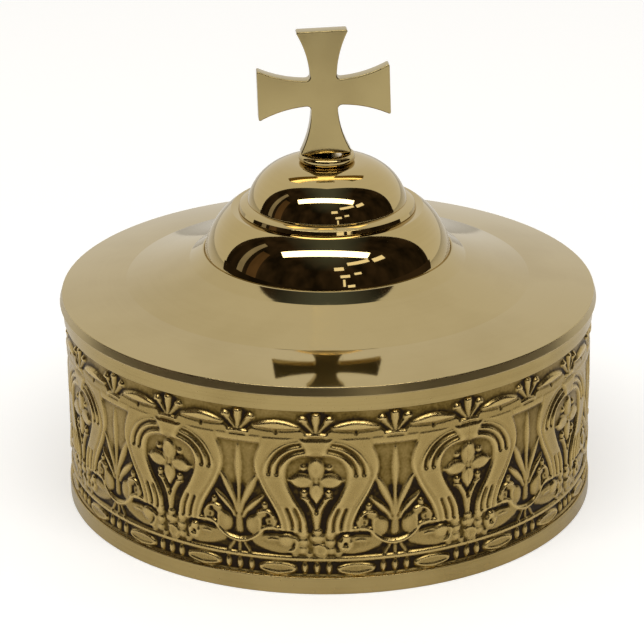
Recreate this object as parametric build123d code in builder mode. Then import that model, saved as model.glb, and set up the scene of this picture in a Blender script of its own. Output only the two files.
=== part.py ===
from build123d import *
import os
from math import cos, pi, radians, sin

# Standing pyx: a round gilt-brass box with a die-struck frieze, and a lift-off lid whose
# stacked domes carry a cross. Millimetres, +Z up, origin on the table under the box's middle,
# the cross facing -Y.

# Box
body_radius = 75.0        # outside of the plain rim and of the foot
foot_height = 4.9         # plain moulding under the frieze
frieze_height = 48.5      # ornamented strip
rim_height = 4.5          # plain moulding above the frieze
cup_wall = 1.0            # spun cup inside the mouldings
cup_floor = 1.2
cup_corner = 1.5          # inside radius between the cup's wall and floor
floor_lift = 2.0          # underside of the cup above the table
foot_seat = 3.0           # width of the foot's ledge under the flat of the cup
solder_gap = 0.05         # film of solder between round walls
edge_round = 0.3          # softened edges of the turned mouldings

# Frieze
repeat_count = 11         # lyre and sprig together are one repeat
lyre_bearing = -7.3       # degrees from the front to the nearest lyre
strip_thickness = 0.6     # metal behind the relief
relief_inset = 0.2        # highest relief behind the mouldings' face
relief_height = 1.0

# Lid
lid_overhang = 1.0        # lid edge beyond the rim
lid_edge_height = 2.5
lid_rise = 10.6           # rise of the plate, edge to crown
brim_width = 19.0         # outer, flatter part of the plate
brim_rise = 2.55
brim_bulge = 0.25         # swell of the brim above its chord
flare_width = 8.15        # inner part that turns up to the crown
flare_rise = 4.45
plate_thickness = 1.2
fit_gap = 0.3             # locating ring inside the cup
locating_wall = 1.0
locating_depth = 5.9
locating_bevel = 0.3      # lead-in at the ring's lower edge

# Stacked domes
step_radius = 25.0        # turned ring between the two domes
step_height = 1.95
step_ledge = 3.3          # ring showing outside the upper dome
step_seat = 3.0           # ring reaching in behind the upper dome's wall
lower_dome_flare = 9.8    # lower dome beyond the ring
lower_dome_height = 12.75
lower_ledge = 2.0         # flat of the lower dome showing round the ring
lower_lean = 7.8          # degrees the domes' walls lean in at their feet
upper_lean = 12.0
upper_dome_height = 12.3
dome_wall = 1.0
dome_land = 0.4           # flat of the plate showing round the lower dome
collar_radius = 7.65
collar_height = 1.8
collar_round = 0.6

# Cross
cross_width = 36.8
cross_height = 35.3
cross_thickness = 4.2
cross_waist = 7.3         # arms at the crossing
cross_end = 14.7          # arms at their ends
cross_flare = 0.9         # hollow of the arms' sides
cross_corner = 1.2        # radius in the four inner corners
cross_bevel = 0.4

# Tie stud through the domes
stud_diameter = 2.5
stud_clearance = 0.15
stud_grip = 7.0           # length of stud inside the cross
stud_tip_gap = 0.5        # spare depth of the cross's hole
stud_tail = 0.8           # stud showing under the nut
stud_bevel = 0.3
stud_thread_gap = 0.05    # stud inside the nut
nut_flats = 5.0
nut_height = 2.0
nut_bevel = 0.3
washer_diameter = 8.0
washer_thickness = 0.8

# Radii worked out from the outside in
relief_radius = body_radius - relief_inset
ground_radius = relief_radius - relief_height
strip_inner = ground_radius - strip_thickness
cup_outer = strip_inner - solder_gap
cup_inner = cup_outer - cup_wall
cup_outer_corner = cup_corner + cup_wall
foot_inner = cup_outer - cup_outer_corner - foot_seat
locating_outer = cup_inner - fit_gap
locating_inner = locating_outer - locating_wall
lid_radius = body_radius + lid_overhang
upper_dome_radius = step_radius - step_ledge
step_inner = upper_dome_radius - dome_wall - step_seat
lower_dome_radius = step_radius + lower_dome_flare
crown_radius = lower_dome_radius + dome_land
brim_radius = lid_radius - brim_width
flare_radius = crown_radius + flare_width
stud_radius = stud_diameter / 2
stud_hole = stud_radius + stud_clearance

# Heights worked out from the table up
frieze_top = foot_height + frieze_height
lid_seat = frieze_top + rim_height
lid_edge_top = lid_seat + lid_edge_height
brim_height = lid_edge_top + brim_rise
crown_height = lid_edge_top + lid_rise
flare_height = crown_height - flare_rise
step_bottom = crown_height + lower_dome_height
step_top = step_bottom + step_height
dome_top = step_top + upper_dome_height
cross_bottom = dome_top + collar_height
cross_middle = cross_bottom + cross_height / 2
crown_under = crown_height - plate_thickness
washer_under = crown_under - washer_thickness
nut_under = washer_under - nut_height

os.makedirs("parts", exist_ok=True)


def ring_section(inner, outer, bottom, top):
    """Return the section of a plain ring, drawn on the plane through the axis."""
    with BuildSketch(Plane.XZ) as section:
        with BuildLine():
            Polyline((inner, bottom), (outer, bottom), (outer, top), (inner, top), close=True)
        make_face()
    return section.sketch


def lower_dome_section():
    """Return the section of the lower dome: an arc that leans in, then a flat ledge with a hole."""
    lean = (-sin(radians(lower_lean)), cos(radians(lower_lean)))
    shoulder = step_radius + lower_ledge
    under = step_bottom - dome_wall
    with BuildSketch(Plane.XZ) as section:
        with BuildLine():
            outside = TangentArc((lower_dome_radius, crown_height), (shoulder, step_bottom), tangent=lean)
            inside = TangentArc(
                (lower_dome_radius - dome_wall, crown_height), (shoulder - dome_wall / 2, under), tangent=lean
            )
            Line(inside @ 0, outside @ 0)
            Polyline(outside @ 1, (step_inner, step_bottom), (step_inner, under), inside @ 1)
        make_face()
    return section.sketch


def upper_dome_section():
    """Return the section of the upper dome: an ellipse's top, cut where its wall still leans in."""
    run = (upper_dome_radius - collar_radius) / cos(radians(upper_lean))
    rise = upper_dome_height / (1 - sin(radians(upper_lean)))
    inner_run = run - dome_wall / cos(radians(upper_lean))
    inner_rise = rise - dome_wall / (1 - sin(radians(upper_lean)))
    under = dome_top - dome_wall
    sweep = 90 - upper_lean
    with BuildSketch(Plane.XZ) as section:
        with BuildLine():
            outside = EllipticalCenterArc(
                (collar_radius, dome_top - rise), run, rise, start_angle=upper_lean, arc_size=sweep
            )
            inside = EllipticalCenterArc(
                (collar_radius, under - inner_rise), inner_run, inner_rise, start_angle=upper_lean, arc_size=sweep
            )
            Line(inside @ 0, outside @ 0)
            Polyline(outside @ 1, (stud_hole, dome_top), (stud_hole, under), inside @ 1)
        make_face()
    return section.sketch


def plate_outline(drop):
    """Return the section under the top of the lid's plate, the top lowered by a drop."""
    with BuildSketch(Plane.XZ) as outline:
        with BuildLine():
            brim = SagittaArc(
                (lid_radius, lid_edge_top - drop), (brim_radius, brim_height - drop), -brim_bulge
            )
            bell = Line(brim @ 1, (flare_radius, flare_height - drop))
            flare = TangentArc(bell @ 1, (crown_radius, crown_height - drop), tangent=bell % 1)
            Polyline(
                flare @ 1,
                (stud_hole, crown_height - drop),
                (stud_hole, lid_seat),
                (lid_radius, lid_seat),
                brim @ 0,
            )
        make_face()
    return outline.sketch


def leaf(base, tip, width):
    """Return a pointed leaf between two points, its two sides equal arcs."""
    with BuildSketch() as outline:
        with BuildLine():
            SagittaArc(base, tip, width / 2)
            SagittaArc(tip, base, width / 2)
        make_face()
    return outline.sketch


# Spun cup: floor and wall in one piece
with BuildPart() as inner_cup:
    with BuildSketch(Plane.XZ) as cup_section:
        with BuildLine():
            Polyline(
                (0, floor_lift),
                (cup_outer, floor_lift),
                (cup_outer, lid_seat),
                (cup_inner, lid_seat),
                (cup_inner, floor_lift + cup_floor),
                (0, floor_lift + cup_floor),
                close=True,
            )
        make_face()
        outer_corner = cup_section.vertices().sort_by_distance((cup_outer, floor_lift))[0]
        fillet(outer_corner, cup_outer_corner)
        inner_corner = cup_section.vertices().sort_by_distance((cup_inner, floor_lift + cup_floor))[0]
        fillet(inner_corner, cup_corner)
    revolve(axis=Axis.Z)
inner_cup.part.label = "inner_cup"
export_step(inner_cup.part, "parts/inner_cup.step")

# Foot: outer moulding with an inner ledge that carries the cup
with BuildPart() as foot_ring:
    with BuildSketch(Plane.XZ):
        with BuildLine():
            Polyline(
                (foot_inner, 0),
                (body_radius, 0),
                (body_radius, foot_height),
                (cup_outer + solder_gap, foot_height),
                (cup_outer + solder_gap, floor_lift),
                (foot_inner, floor_lift),
                close=True,
            )
        make_face()
    revolve(axis=Axis.Z)
    foot_edges = foot_ring.edges().filter_by(GeomType.CIRCLE).group_by(SortBy.RADIUS)[-1]
    fillet(foot_edges, edge_round)
foot_ring.part.label = "foot_ring"
export_step(foot_ring.part, "parts/foot_ring.step")

# Rim: plain moulding round the mouth of the cup, which the lid rests on
with BuildPart() as rim_ring:
    add(ring_section(cup_outer + solder_gap, body_radius, frieze_top, lid_seat))
    revolve(axis=Axis.Z)
    rim_edges = rim_ring.edges().filter_by(GeomType.CIRCLE).group_by(SortBy.RADIUS)[-1]
    fillet(rim_edges, edge_round)
rim_ring.part.label = "rim_ring"
export_step(rim_ring.part, "parts/rim_ring.step")

# Frieze. One repeat is drawn on the plane that touches the strip at the front. Its places are
# shares: across, of half the repeat's width, and up, of the strip's height.
half_repeat = pi * relief_radius / repeat_count
strip_plane = Plane(origin=(0, -relief_radius, 0), x_dir=(1, 0, 0), z_dir=(0, -1, 0))
bay_depth = relief_radius * (1 - cos(pi / repeat_count)) + relief_height + strip_thickness
root_radius = ground_radius - strip_thickness / 2


def at(across, up):
    """Place a point of the ornament on the strip's plane."""
    return (across * half_repeat, foot_height + up * frieze_height)


def raised(drawing):
    """Return a drawing cut through the strip and trimmed to the face of the relief."""
    with BuildPart() as relief:
        with BuildSketch(strip_plane):
            add(drawing)
        extrude(amount=-bay_depth)
        with BuildSketch(Plane.XY.offset(foot_height)):
            Circle(relief_radius)
            Circle(root_radius, mode=Mode.SUBTRACT)
        extrude(amount=frieze_height, mode=Mode.INTERSECT)
    return relief.part


# Palmette of three petals, over every lyre and every sprig
with BuildSketch() as palmette:
    add(leaf(at(0, 0.86), at(0, 0.985), 0.11 * half_repeat))
    for side in (-1, 1):
        add(leaf(at(0, 0.86), at(side * 0.19, 0.955), 0.1 * half_repeat))

# Lyre: two straps under a keystone, with a flower inside, a trailing leaf at each foot, and a
# lunette and an almond on each side
with BuildSketch() as lyre:
    with BuildLine():
        strap_outside = Spline(
            at(0.2, 0.83), at(0.54, 0.78), at(0.7, 0.62), at(0.54, 0.47), at(0.4, 0.34), at(0.365, 0.2)
        )
        strap_inside = Spline(
            at(0.15, 0.2), at(0.24, 0.42), at(0.405, 0.58), at(0.365, 0.69), at(0.2, 0.74)
        )
        Line(strap_outside @ 1, strap_inside @ 0)
        Polyline(strap_inside @ 1, at(0, 0.73), at(0, 0.83), strap_outside @ 0)
    make_face()
    mirror(about=Plane.YZ)
    add(leaf(at(0, 0.43), at(0, 0.715), 0.15 * half_repeat))
    add(leaf(at(-0.3, 0.59), at(0.3, 0.59), 0.15 * half_repeat))
    for side in (-1, 1):
        add(leaf(at(side * 0.2, 0.17), at(side * 0.82, 0.2), 0.16 * half_repeat))
        add(leaf(at(side * 0.5 - 0.235, 0.05), at(side * 0.5 + 0.235, 0.05), 0.06 * frieze_height))
        with BuildLine():
            lunette_arc = ThreePointArc(
                at(side * 0.5 - 0.29, 0.855), at(side * 0.5, 0.942), at(side * 0.5 + 0.29, 0.855)
            )
            Line(lunette_arc @ 1, lunette_arc @ 0)
        make_face()
    add(palmette.sketch)

# Sprig: a tall leaf with a pair of side leaves
with BuildSketch() as sprig:
    add(leaf(at(0, 0.24), at(0, 0.77), 0.1 * half_repeat))
    for side in (-1, 1):
        add(leaf(at(0, 0.34), at(side * 0.28, 0.56), 0.09 * half_repeat))
    add(palmette.sketch)

# Die-struck strip: a thin band with two fillets and the repeats standing on it
with BuildPart() as frieze_band:
    add(ring_section(strip_inner, ground_radius, foot_height, frieze_top))
    add(ring_section(root_radius, relief_radius, at(0, 0.795)[1], at(0, 0.84)[1]))
    add(ring_section(root_radius, relief_radius, at(0, 0.093)[1], at(0, 0.118)[1]))
    revolve(axis=Axis.Z)
    with PolarLocations(0, repeat_count, start_angle=lyre_bearing):
        add(raised(lyre.sketch), clean=False)
    with PolarLocations(0, repeat_count, start_angle=lyre_bearing + 180 / repeat_count):
        add(raised(sprig.sketch))
frieze_band.part.label = "frieze_band"
export_step(frieze_band.part, "parts/frieze_band.step")

# Lid plate: a brim, a bell and a flare up to the flat crown, hollow inside the locating ring
with BuildSketch(Plane.XZ) as plate_hollow:
    add(plate_outline(plate_thickness))
    with Locations((locating_inner / 2, crown_height / 2)):
        Rectangle(locating_inner, 2 * crown_height, mode=Mode.INTERSECT)
with BuildPart() as lid_plate:
    with BuildSketch(Plane.XZ):
        add(plate_outline(0))
        add(plate_hollow.sketch, mode=Mode.SUBTRACT)
    revolve(axis=Axis.Z)
    lid_edges = lid_plate.edges().filter_by(GeomType.CIRCLE).filter_by(
        lambda edge: abs(edge.radius - lid_radius) < edge_round
    )
    fillet(lid_edges, edge_round)
lid_plate.part.label = "lid_plate"
export_step(lid_plate.part, "parts/lid_plate.step")

# Locating ring: soldered under the flange, it drops inside the mouth of the cup
with BuildPart() as locating_ring:
    add(ring_section(locating_inner, locating_outer, lid_seat - locating_depth, lid_seat))
    revolve(axis=Axis.Z)
    lead_in = locating_ring.edges().group_by(Axis.Z)[0]
    chamfer(lead_in, locating_bevel)
locating_ring.part.label = "locating_ring"
export_step(locating_ring.part, "parts/locating_ring.step")

# Lower dome: spun shell on the crown of the plate
with BuildPart() as lower_dome:
    add(lower_dome_section())
    revolve(axis=Axis.Z)
lower_dome.part.label = "lower_dome"
export_step(lower_dome.part, "parts/lower_dome.step")

# Step ring: turned ring between the domes
with BuildPart() as step_ring:
    add(ring_section(step_inner, step_radius, step_bottom, step_top))
    revolve(axis=Axis.Z)
    step_edges = step_ring.edges().filter_by(GeomType.CIRCLE).group_by(SortBy.RADIUS)[-1]
    fillet(step_edges, edge_round)
step_ring.part.label = "step_ring"
export_step(step_ring.part, "parts/step_ring.step")

# Upper dome: spun shell on the step ring
with BuildPart() as upper_dome:
    add(upper_dome_section())
    revolve(axis=Axis.Z)
upper_dome.part.label = "upper_dome"
export_step(upper_dome.part, "parts/upper_dome.step")

# Collar: round bead between the upper dome and the cross
with BuildPart() as cross_collar:
    add(ring_section(stud_hole, collar_radius, dome_top, cross_bottom))
    revolve(axis=Axis.Z)
    collar_edges = cross_collar.edges().filter_by(GeomType.CIRCLE).group_by(SortBy.RADIUS)[-1]
    fillet(collar_edges, collar_round)
cross_collar.part.label = "cross_collar"
export_step(cross_collar.part, "parts/cross_collar.step")

# Cross: flat casting with four flared arms, drawn as one quarter and mirrored
cross_plane = Plane(origin=(0, 0, cross_middle), x_dir=(1, 0, 0), z_dir=(0, -1, 0))
with BuildPart() as cross:
    with BuildSketch(cross_plane):
        with BuildLine():
            crossing = (cross_waist / 2, cross_waist / 2)
            top_corner = (cross_end / 2, cross_height / 2)
            side_corner = (cross_width / 2, cross_end / 2)
            Polyline((0, 0), (0, cross_height / 2), top_corner)
            SagittaArc(top_corner, crossing, cross_flare)
            SagittaArc(crossing, side_corner, cross_flare)
            Polyline(side_corner, (cross_width / 2, 0), (0, 0))
        make_face()
        mirror(about=Plane.YZ)
        mirror(about=Plane.XZ)
    extrude(amount=cross_thickness / 2, both=True)
    reach = cross_waist / 2 + cross_corner
    inner_corners = cross.edges().filter_by(Axis.Y).filter_by(
        lambda edge: abs(edge.center().X) < reach and abs(edge.center().Z - cross_middle) < reach
    )
    fillet(inner_corners, cross_corner)
    face_outlines = cross.faces().filter_by(Axis.Y).edges()
    chamfer(face_outlines, cross_bevel)
    with Locations(Plane(origin=(0, 0, cross_bottom), z_dir=(0, 0, -1))):
        Hole(stud_hole, depth=stud_grip + stud_tip_gap)
cross.part.label = "cross"
export_step(cross.part, "parts/cross.step")

# Tie stud: draws the cross, collar, domes and plate together
with BuildPart() as tie_stud:
    with BuildSketch(Plane.XY.offset(nut_under - stud_tail)):
        Circle(stud_radius)
    extrude(amount=cross_bottom + stud_grip - nut_under + stud_tail)
    chamfer(tie_stud.edges().filter_by(GeomType.CIRCLE), stud_bevel)
tie_stud.part.label = "tie_stud"
export_step(tie_stud.part, "parts/tie_stud.step")

# Washer and nut under the crown of the plate
with BuildPart() as stud_washer:
    with BuildSketch(Plane.XY.offset(washer_under)):
        Circle(washer_diameter / 2)
        Circle(stud_hole, mode=Mode.SUBTRACT)
    extrude(amount=washer_thickness)
stud_washer.part.label = "stud_washer"
export_step(stud_washer.part, "parts/stud_washer.step")

with BuildPart() as stud_nut:
    with BuildSketch(Plane.XY.offset(nut_under)):
        RegularPolygon(nut_flats / 2, 6, major_radius=False)
    extrude(amount=nut_height)
    chamfer(stud_nut.faces().sort_by(Axis.Z)[0].edges(), nut_bevel)
    with Locations(Plane.XY.offset(washer_under)):
        Hole(stud_radius + stud_thread_gap)
stud_nut.part.label = "stud_nut"
export_step(stud_nut.part, "parts/stud_nut.step")
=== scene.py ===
"""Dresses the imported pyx: a round brass box with a struck frieze and a lid that carries a cross.

Sizes are millimetres in the classes below and metres in Blender. The frame is the CAD frame:
+Z up, the table at zero, the cross facing -Y.
"""

import logging
import math
from dataclasses import dataclass, field
from enum import Enum
from typing import Sequence

import bpy
import numpy as np
from mathutils import Matrix, Vector


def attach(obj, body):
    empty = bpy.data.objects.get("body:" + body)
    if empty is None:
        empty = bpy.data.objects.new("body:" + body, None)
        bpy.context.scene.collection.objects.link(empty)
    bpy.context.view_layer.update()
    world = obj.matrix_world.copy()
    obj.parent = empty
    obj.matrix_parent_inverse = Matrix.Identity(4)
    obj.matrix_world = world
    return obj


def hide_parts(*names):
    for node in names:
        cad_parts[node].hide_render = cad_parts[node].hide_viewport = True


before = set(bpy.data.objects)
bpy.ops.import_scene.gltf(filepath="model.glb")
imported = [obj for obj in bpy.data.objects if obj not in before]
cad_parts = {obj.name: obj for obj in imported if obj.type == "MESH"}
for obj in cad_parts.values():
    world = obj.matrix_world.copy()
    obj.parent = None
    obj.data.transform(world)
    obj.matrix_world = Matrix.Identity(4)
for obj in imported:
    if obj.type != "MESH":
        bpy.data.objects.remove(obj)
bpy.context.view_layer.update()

MM = 0.001
LOG = logging.getLogger("pyx")

Array = np.ndarray
Colour = tuple[float, float, float]


class Body(Enum):
    """The two CAD bodies that pieces ride on."""

    BOX = "box"
    LID = "lid"


class Slot(Enum):
    """The record's material slots."""

    LID = "polished_lid"
    MIRROR = "mirror_brass"
    CROSS = "cross_brass"
    FRIEZE = "struck_frieze"
    MOULDING = "turned_mouldings"
    INSIDE = "gilt_inside"
    FIXING = "fixings"


class Across(Enum):
    """What the frieze's ornament is measured from along the strip."""

    LEFT_TO_RIGHT = "signed distance from the lyre's axis"
    LYRE = "distance from the lyre's axis, both sides alike"
    SPRIG = "distance from the sprig's axis, both sides alike"
    NEAREST = "distance from whichever of the two axes is nearer"


# Mesh helpers


def ease(x: Array) -> Array:
    """Return x held between 0 and 1 and smoothed at both ends, 3t^2 - 2t^3."""
    t = np.clip(x, 0.0, 1.0)
    return t * t * (3.0 - 2.0 * t)


def smooth_line(points: Sequence[Sequence[float]], steps: int = 6) -> Array:
    """Return a Catmull-Rom line through the points.

    Each span is the cubic whose end slopes are half the step between the neighbours. Any number
    of values may ride along with the two places, such as a half-width.

    Args:
        points: at least two rows of the same length.
        steps: samples to a span.

    Returns:
        The sampled rows, ends included.
    """
    p = np.asarray(points, float)
    wide = np.vstack([2 * p[0] - p[1], p, 2 * p[-1] - p[-2]])
    a, b, c, d = wide[:-3, None], wide[1:-2, None], wide[2:-1, None], wide[3:, None]
    t = np.linspace(0.0, 1.0, steps, endpoint=False)[None, :, None]
    cubic = 2 * b + (c - a) * t + (2 * a - 5 * b + 4 * c - d) * t**2 + (3 * b - a - 3 * c + d) * t**3
    return np.vstack([0.5 * cubic.reshape(-1, p.shape[1]), p[-1:]])


def rounded_loop(corners: Sequence[Sequence[float]], steps: int = 6, guard: float = 0.06) -> Array:
    """Return a closed outline whose corners are circle arcs.

    A corner of radius R is left and met R / tan(half its angle) from the point, and the arc
    between turns about the centre on the bisector. Guard points close to the arcs keep the
    long runs' shading flat.

    Args:
        corners: rows of x, y and radius, in order; radius 0 keeps the point.
        steps: arc spans to a corner.
        guard: distance of the guard points from the arcs, mm.

    Returns:
        Points of the outline, without repeating the first.
    """
    pts = np.asarray(corners, float)
    rows = []
    for here, before, after in zip(pts, np.roll(pts, 1, axis=0), np.roll(pts, -1, axis=0)):
        point, radius = here[:2], here[2]
        if radius <= 0:
            rows.append(point[None])
            continue
        to_before = (before[:2] - point) / np.linalg.norm(before[:2] - point)
        to_after = (after[:2] - point) / np.linalg.norm(after[:2] - point)
        half = 0.5 * math.acos(float(np.clip(to_before @ to_after, -1.0, 1.0)))
        leave = radius / math.tan(half)
        middle = to_before + to_after
        centre = point + middle / np.linalg.norm(middle) * radius / math.sin(half)
        first, last = point + to_before * leave - centre, point + to_after * leave - centre
        sweep = math.pi - 2 * half
        t = np.linspace(0.0, 1.0, steps + 1)[:, None]
        arc = (np.sin((1 - t) * sweep) * first + np.sin(t * sweep) * last) / math.sin(sweep)
        ends = [(centre + first + to_before * guard)[None], (centre + last + to_after * guard)[None]]
        rows += [ends[0], centre + arc, ends[1]]
    return np.vstack(rows)


def bend(start: Sequence[float], stop: Sequence[float], heading: Sequence[float], steps: int) -> Array:
    """Return a circle arc that leaves its start along a heading.

    With the heading at angle h from the chord, the point at share t of the way round lies
    chord * sin(h t) / sin(h) from the start, at angle h (1 - t) from the chord.

    Args:
        start: first point.
        stop: last point.
        heading: direction of travel at the start.
        steps: spans along the arc.

    Returns:
        Points of the arc, ends included.
    """
    run = np.asarray(stop, float) - np.asarray(start, float)
    angle = math.atan2(run[0] * heading[1] - run[1] * heading[0], run[0] * heading[0] + run[1] * heading[1])
    t = np.linspace(0.0, 1.0, steps + 1)
    turn, reach = angle * (1.0 - t), np.sin(angle * t) / math.sin(angle)
    across = np.cos(turn) * run[0] - np.sin(turn) * run[1]
    along = np.sin(turn) * run[0] + np.cos(turn) * run[1]
    return np.asarray(start, float) + reach[:, None] * np.column_stack([across, along])


def grid_quads(rows: int, cols: int, wrap_rows: bool = False, wrap_cols: bool = False) -> Array:
    """Return the corners of a grid's quads, vertex (row, col) being number row * cols + col.

    Args:
        rows: rows of vertices.
        cols: vertices to a row.
        wrap_rows: join the last row to the first.
        wrap_cols: join the last column to the first.

    Returns:
        One row of four vertex numbers for each quad.
    """
    i = np.arange(rows if wrap_rows else rows - 1)[:, None]
    j = np.arange(cols if wrap_cols else cols - 1)[None, :]
    up, along = (i + 1) % rows, (j + 1) % cols
    quads = [i * cols + j, i * cols + along, up * cols + along, up * cols + j]
    return np.stack(quads, -1).reshape(-1, 4)


@dataclass
class Shell:
    """A mesh in the making: points in mm, and its faces in groups of equal corner count."""

    points: Array
    smooth: list[Array] = field(default_factory=list)
    flat: list[Array] = field(default_factory=list)
    values: dict[str, Array] = field(default_factory=dict)

    def mesh(self, name: str) -> bpy.types.Mesh:
        """Return the Blender mesh, in metres, with its values as point attributes.

        Args:
            name: name of the mesh.

        Returns:
            The new mesh.
        """
        groups = self.smooth + self.flat
        corners = np.concatenate([g.ravel() for g in groups]).astype(np.int32)
        counts = np.concatenate([np.full(len(g), g.shape[1]) for g in groups])
        starts = np.concatenate([[0], np.cumsum(counts)[:-1]]).astype(np.int32)
        sharp = np.zeros(len(counts), bool)
        sharp[sum(len(g) for g in self.smooth):] = True
        made = bpy.data.meshes.new(name)
        made.vertices.add(len(self.points))
        made.vertices.foreach_set("co", (self.points * MM).astype(np.float32).ravel())
        made.loops.add(len(corners))
        made.loops.foreach_set("vertex_index", corners)
        made.polygons.add(len(counts))
        made.polygons.foreach_set("loop_start", starts)
        made.attributes.new("sharp_face", "BOOLEAN", "FACE").data.foreach_set("value", sharp)
        for label, value in self.values.items():
            kept = made.attributes.new(label, "FLOAT", "POINT")
            kept.data.foreach_set("value", value.astype(np.float32).ravel())
        made.update(calc_edges=True)
        made.validate()
        return made


def turned(profile: Array, segments: int = 256) -> Shell:
    """Return the surface of a profile carried round the Z axis.

    Point (i, j) is (r_i cos t_j, r_i sin t_j, z_i). A profile whose ends lie on the axis closes
    in a pole there, and any other profile is a closed loop.

    Args:
        profile: rows of radius and height in mm, the metal on the left of the travel.
        segments: spans round the axis.

    Returns:
        The closed shell.
    """
    on_axis = profile[0, 0] < 1e-6 and profile[-1, 0] < 1e-6
    loop = profile[1:-1] if on_axis else profile
    turn = np.arange(segments) * (2 * math.pi / segments)
    r, z = loop[:, :1], np.repeat(loop[:, 1:], segments, axis=1)
    points = np.stack([r * np.cos(turn), r * np.sin(turn), z], -1).reshape(-1, 3)
    quads = grid_quads(len(loop), segments, not on_axis, True)
    if not on_axis:
        return Shell(points, smooth=[quads])
    poles = np.array([[0, 0, profile[0, 1]], [0, 0, profile[-1, 1]]])
    count, j = len(points), np.arange(segments)
    last = (len(loop) - 1) * segments
    nearer = np.stack([np.full(segments, count), (j + 1) % segments, j], -1)
    farther = np.stack([np.full(segments, count + 1), last + j, last + (j + 1) % segments], -1)
    return Shell(np.vstack([points, poles]), smooth=[quads, nearer, farther])


def linked(name: str, data: bpy.types.ID) -> bpy.types.Object:
    """Return a new object with this data, put in the scene."""
    made = bpy.data.objects.new(name, data)
    bpy.context.scene.collection.objects.link(made)
    return made


def place(shell: Shell, name: str, material: bpy.types.Material, body: Body, slot: Slot,
          nodes: Sequence[str]) -> None:
    """Make a piece of a shell, dress it and hang it on its CAD body.

    Args:
        shell: the finished shape.
        name: name of the piece.
        material: its finish.
        body: the body it rides on.
        slot: the record's slot for the finish; not used.
        nodes: CAD nodes that it stands for.
    """
    piece = linked(name, shell.mesh(name))
    piece.data.materials.append(material)
    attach(piece, body.value)
    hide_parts(*nodes)
    LOG.info("%s: %d faces", name, len(piece.data.polygons))


# Shader helpers


class NodePen:
    """Places and joins the nodes of one shader tree."""

    def __init__(self, tree: bpy.types.NodeTree) -> None:
        """Work on this tree."""
        self.tree = tree

    def node(self, kind: str, **inputs: object) -> bpy.types.Node:
        """Add a node and set or join its inputs.

        Args:
            kind: Blender's name of the node.
            inputs: input names, with _ for a space, and a value or a socket for each.

        Returns:
            The node.
        """
        made = self.tree.nodes.new(kind)
        for name, value in inputs.items():
            self.feed(made.inputs[name.replace("_", " ")], value)
        return made

    def feed(self, socket: bpy.types.NodeSocket, value: object) -> None:
        """Join a socket to this input, or set its value."""
        if isinstance(value, bpy.types.NodeSocket):
            self.tree.links.new(value, socket)
        else:
            socket.default_value = value

    def math(self, operation: str, *terms: object, clamp: bool = False) -> bpy.types.NodeSocket:
        """Return the result of a Math node on these terms."""
        made = self.tree.nodes.new("ShaderNodeMath")
        made.operation = operation
        made.use_clamp = clamp
        for socket, term in zip(made.inputs, terms):
            self.feed(socket, term)
        return made.outputs[0]

    def mix(self, share: object, first: object, second: object) -> bpy.types.NodeSocket:
        """Return the colour that goes from first to second as share goes from 0 to 1."""
        made = self.tree.nodes.new("ShaderNodeMix")
        made.data_type = "RGBA"
        for socket, value in zip((made.inputs[0], made.inputs[6], made.inputs[7]), (share, first, second)):
            self.feed(socket, value)
        return made.outputs[2]

    def spread(self, value: object, low: float, high: float, to_low: float, to_high: float
               ) -> bpy.types.NodeSocket:
        """Return value carried from one range to another and held inside it."""
        names = {"Value": value, "From_Min": low, "From_Max": high, "To_Min": to_low, "To_Max": to_high}
        return self.node("ShaderNodeMapRange", **names).outputs["Result"]

    def noise(self, place: object, scale: object, detail: float = 3.0) -> bpy.types.NodeSocket:
        """Return fractal noise from 0 to 1 at a place."""
        return self.node("ShaderNodeTexNoise", Vector=place, Scale=scale, Detail=detail).outputs["Fac"]

    def group(self, tree: bpy.types.NodeTree, **inputs: object) -> bpy.types.Node:
        """Place a node group and set or join its inputs."""
        made = self.tree.nodes.new("ShaderNodeGroup")
        made.node_tree = tree
        for name, value in inputs.items():
            self.feed(made.inputs[name.replace("_", " ")], value)
        return made


def rgba(colour: Colour) -> tuple[float, float, float, float]:
    """Return a colour with full alpha."""
    return (*colour, 1.0)


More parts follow.
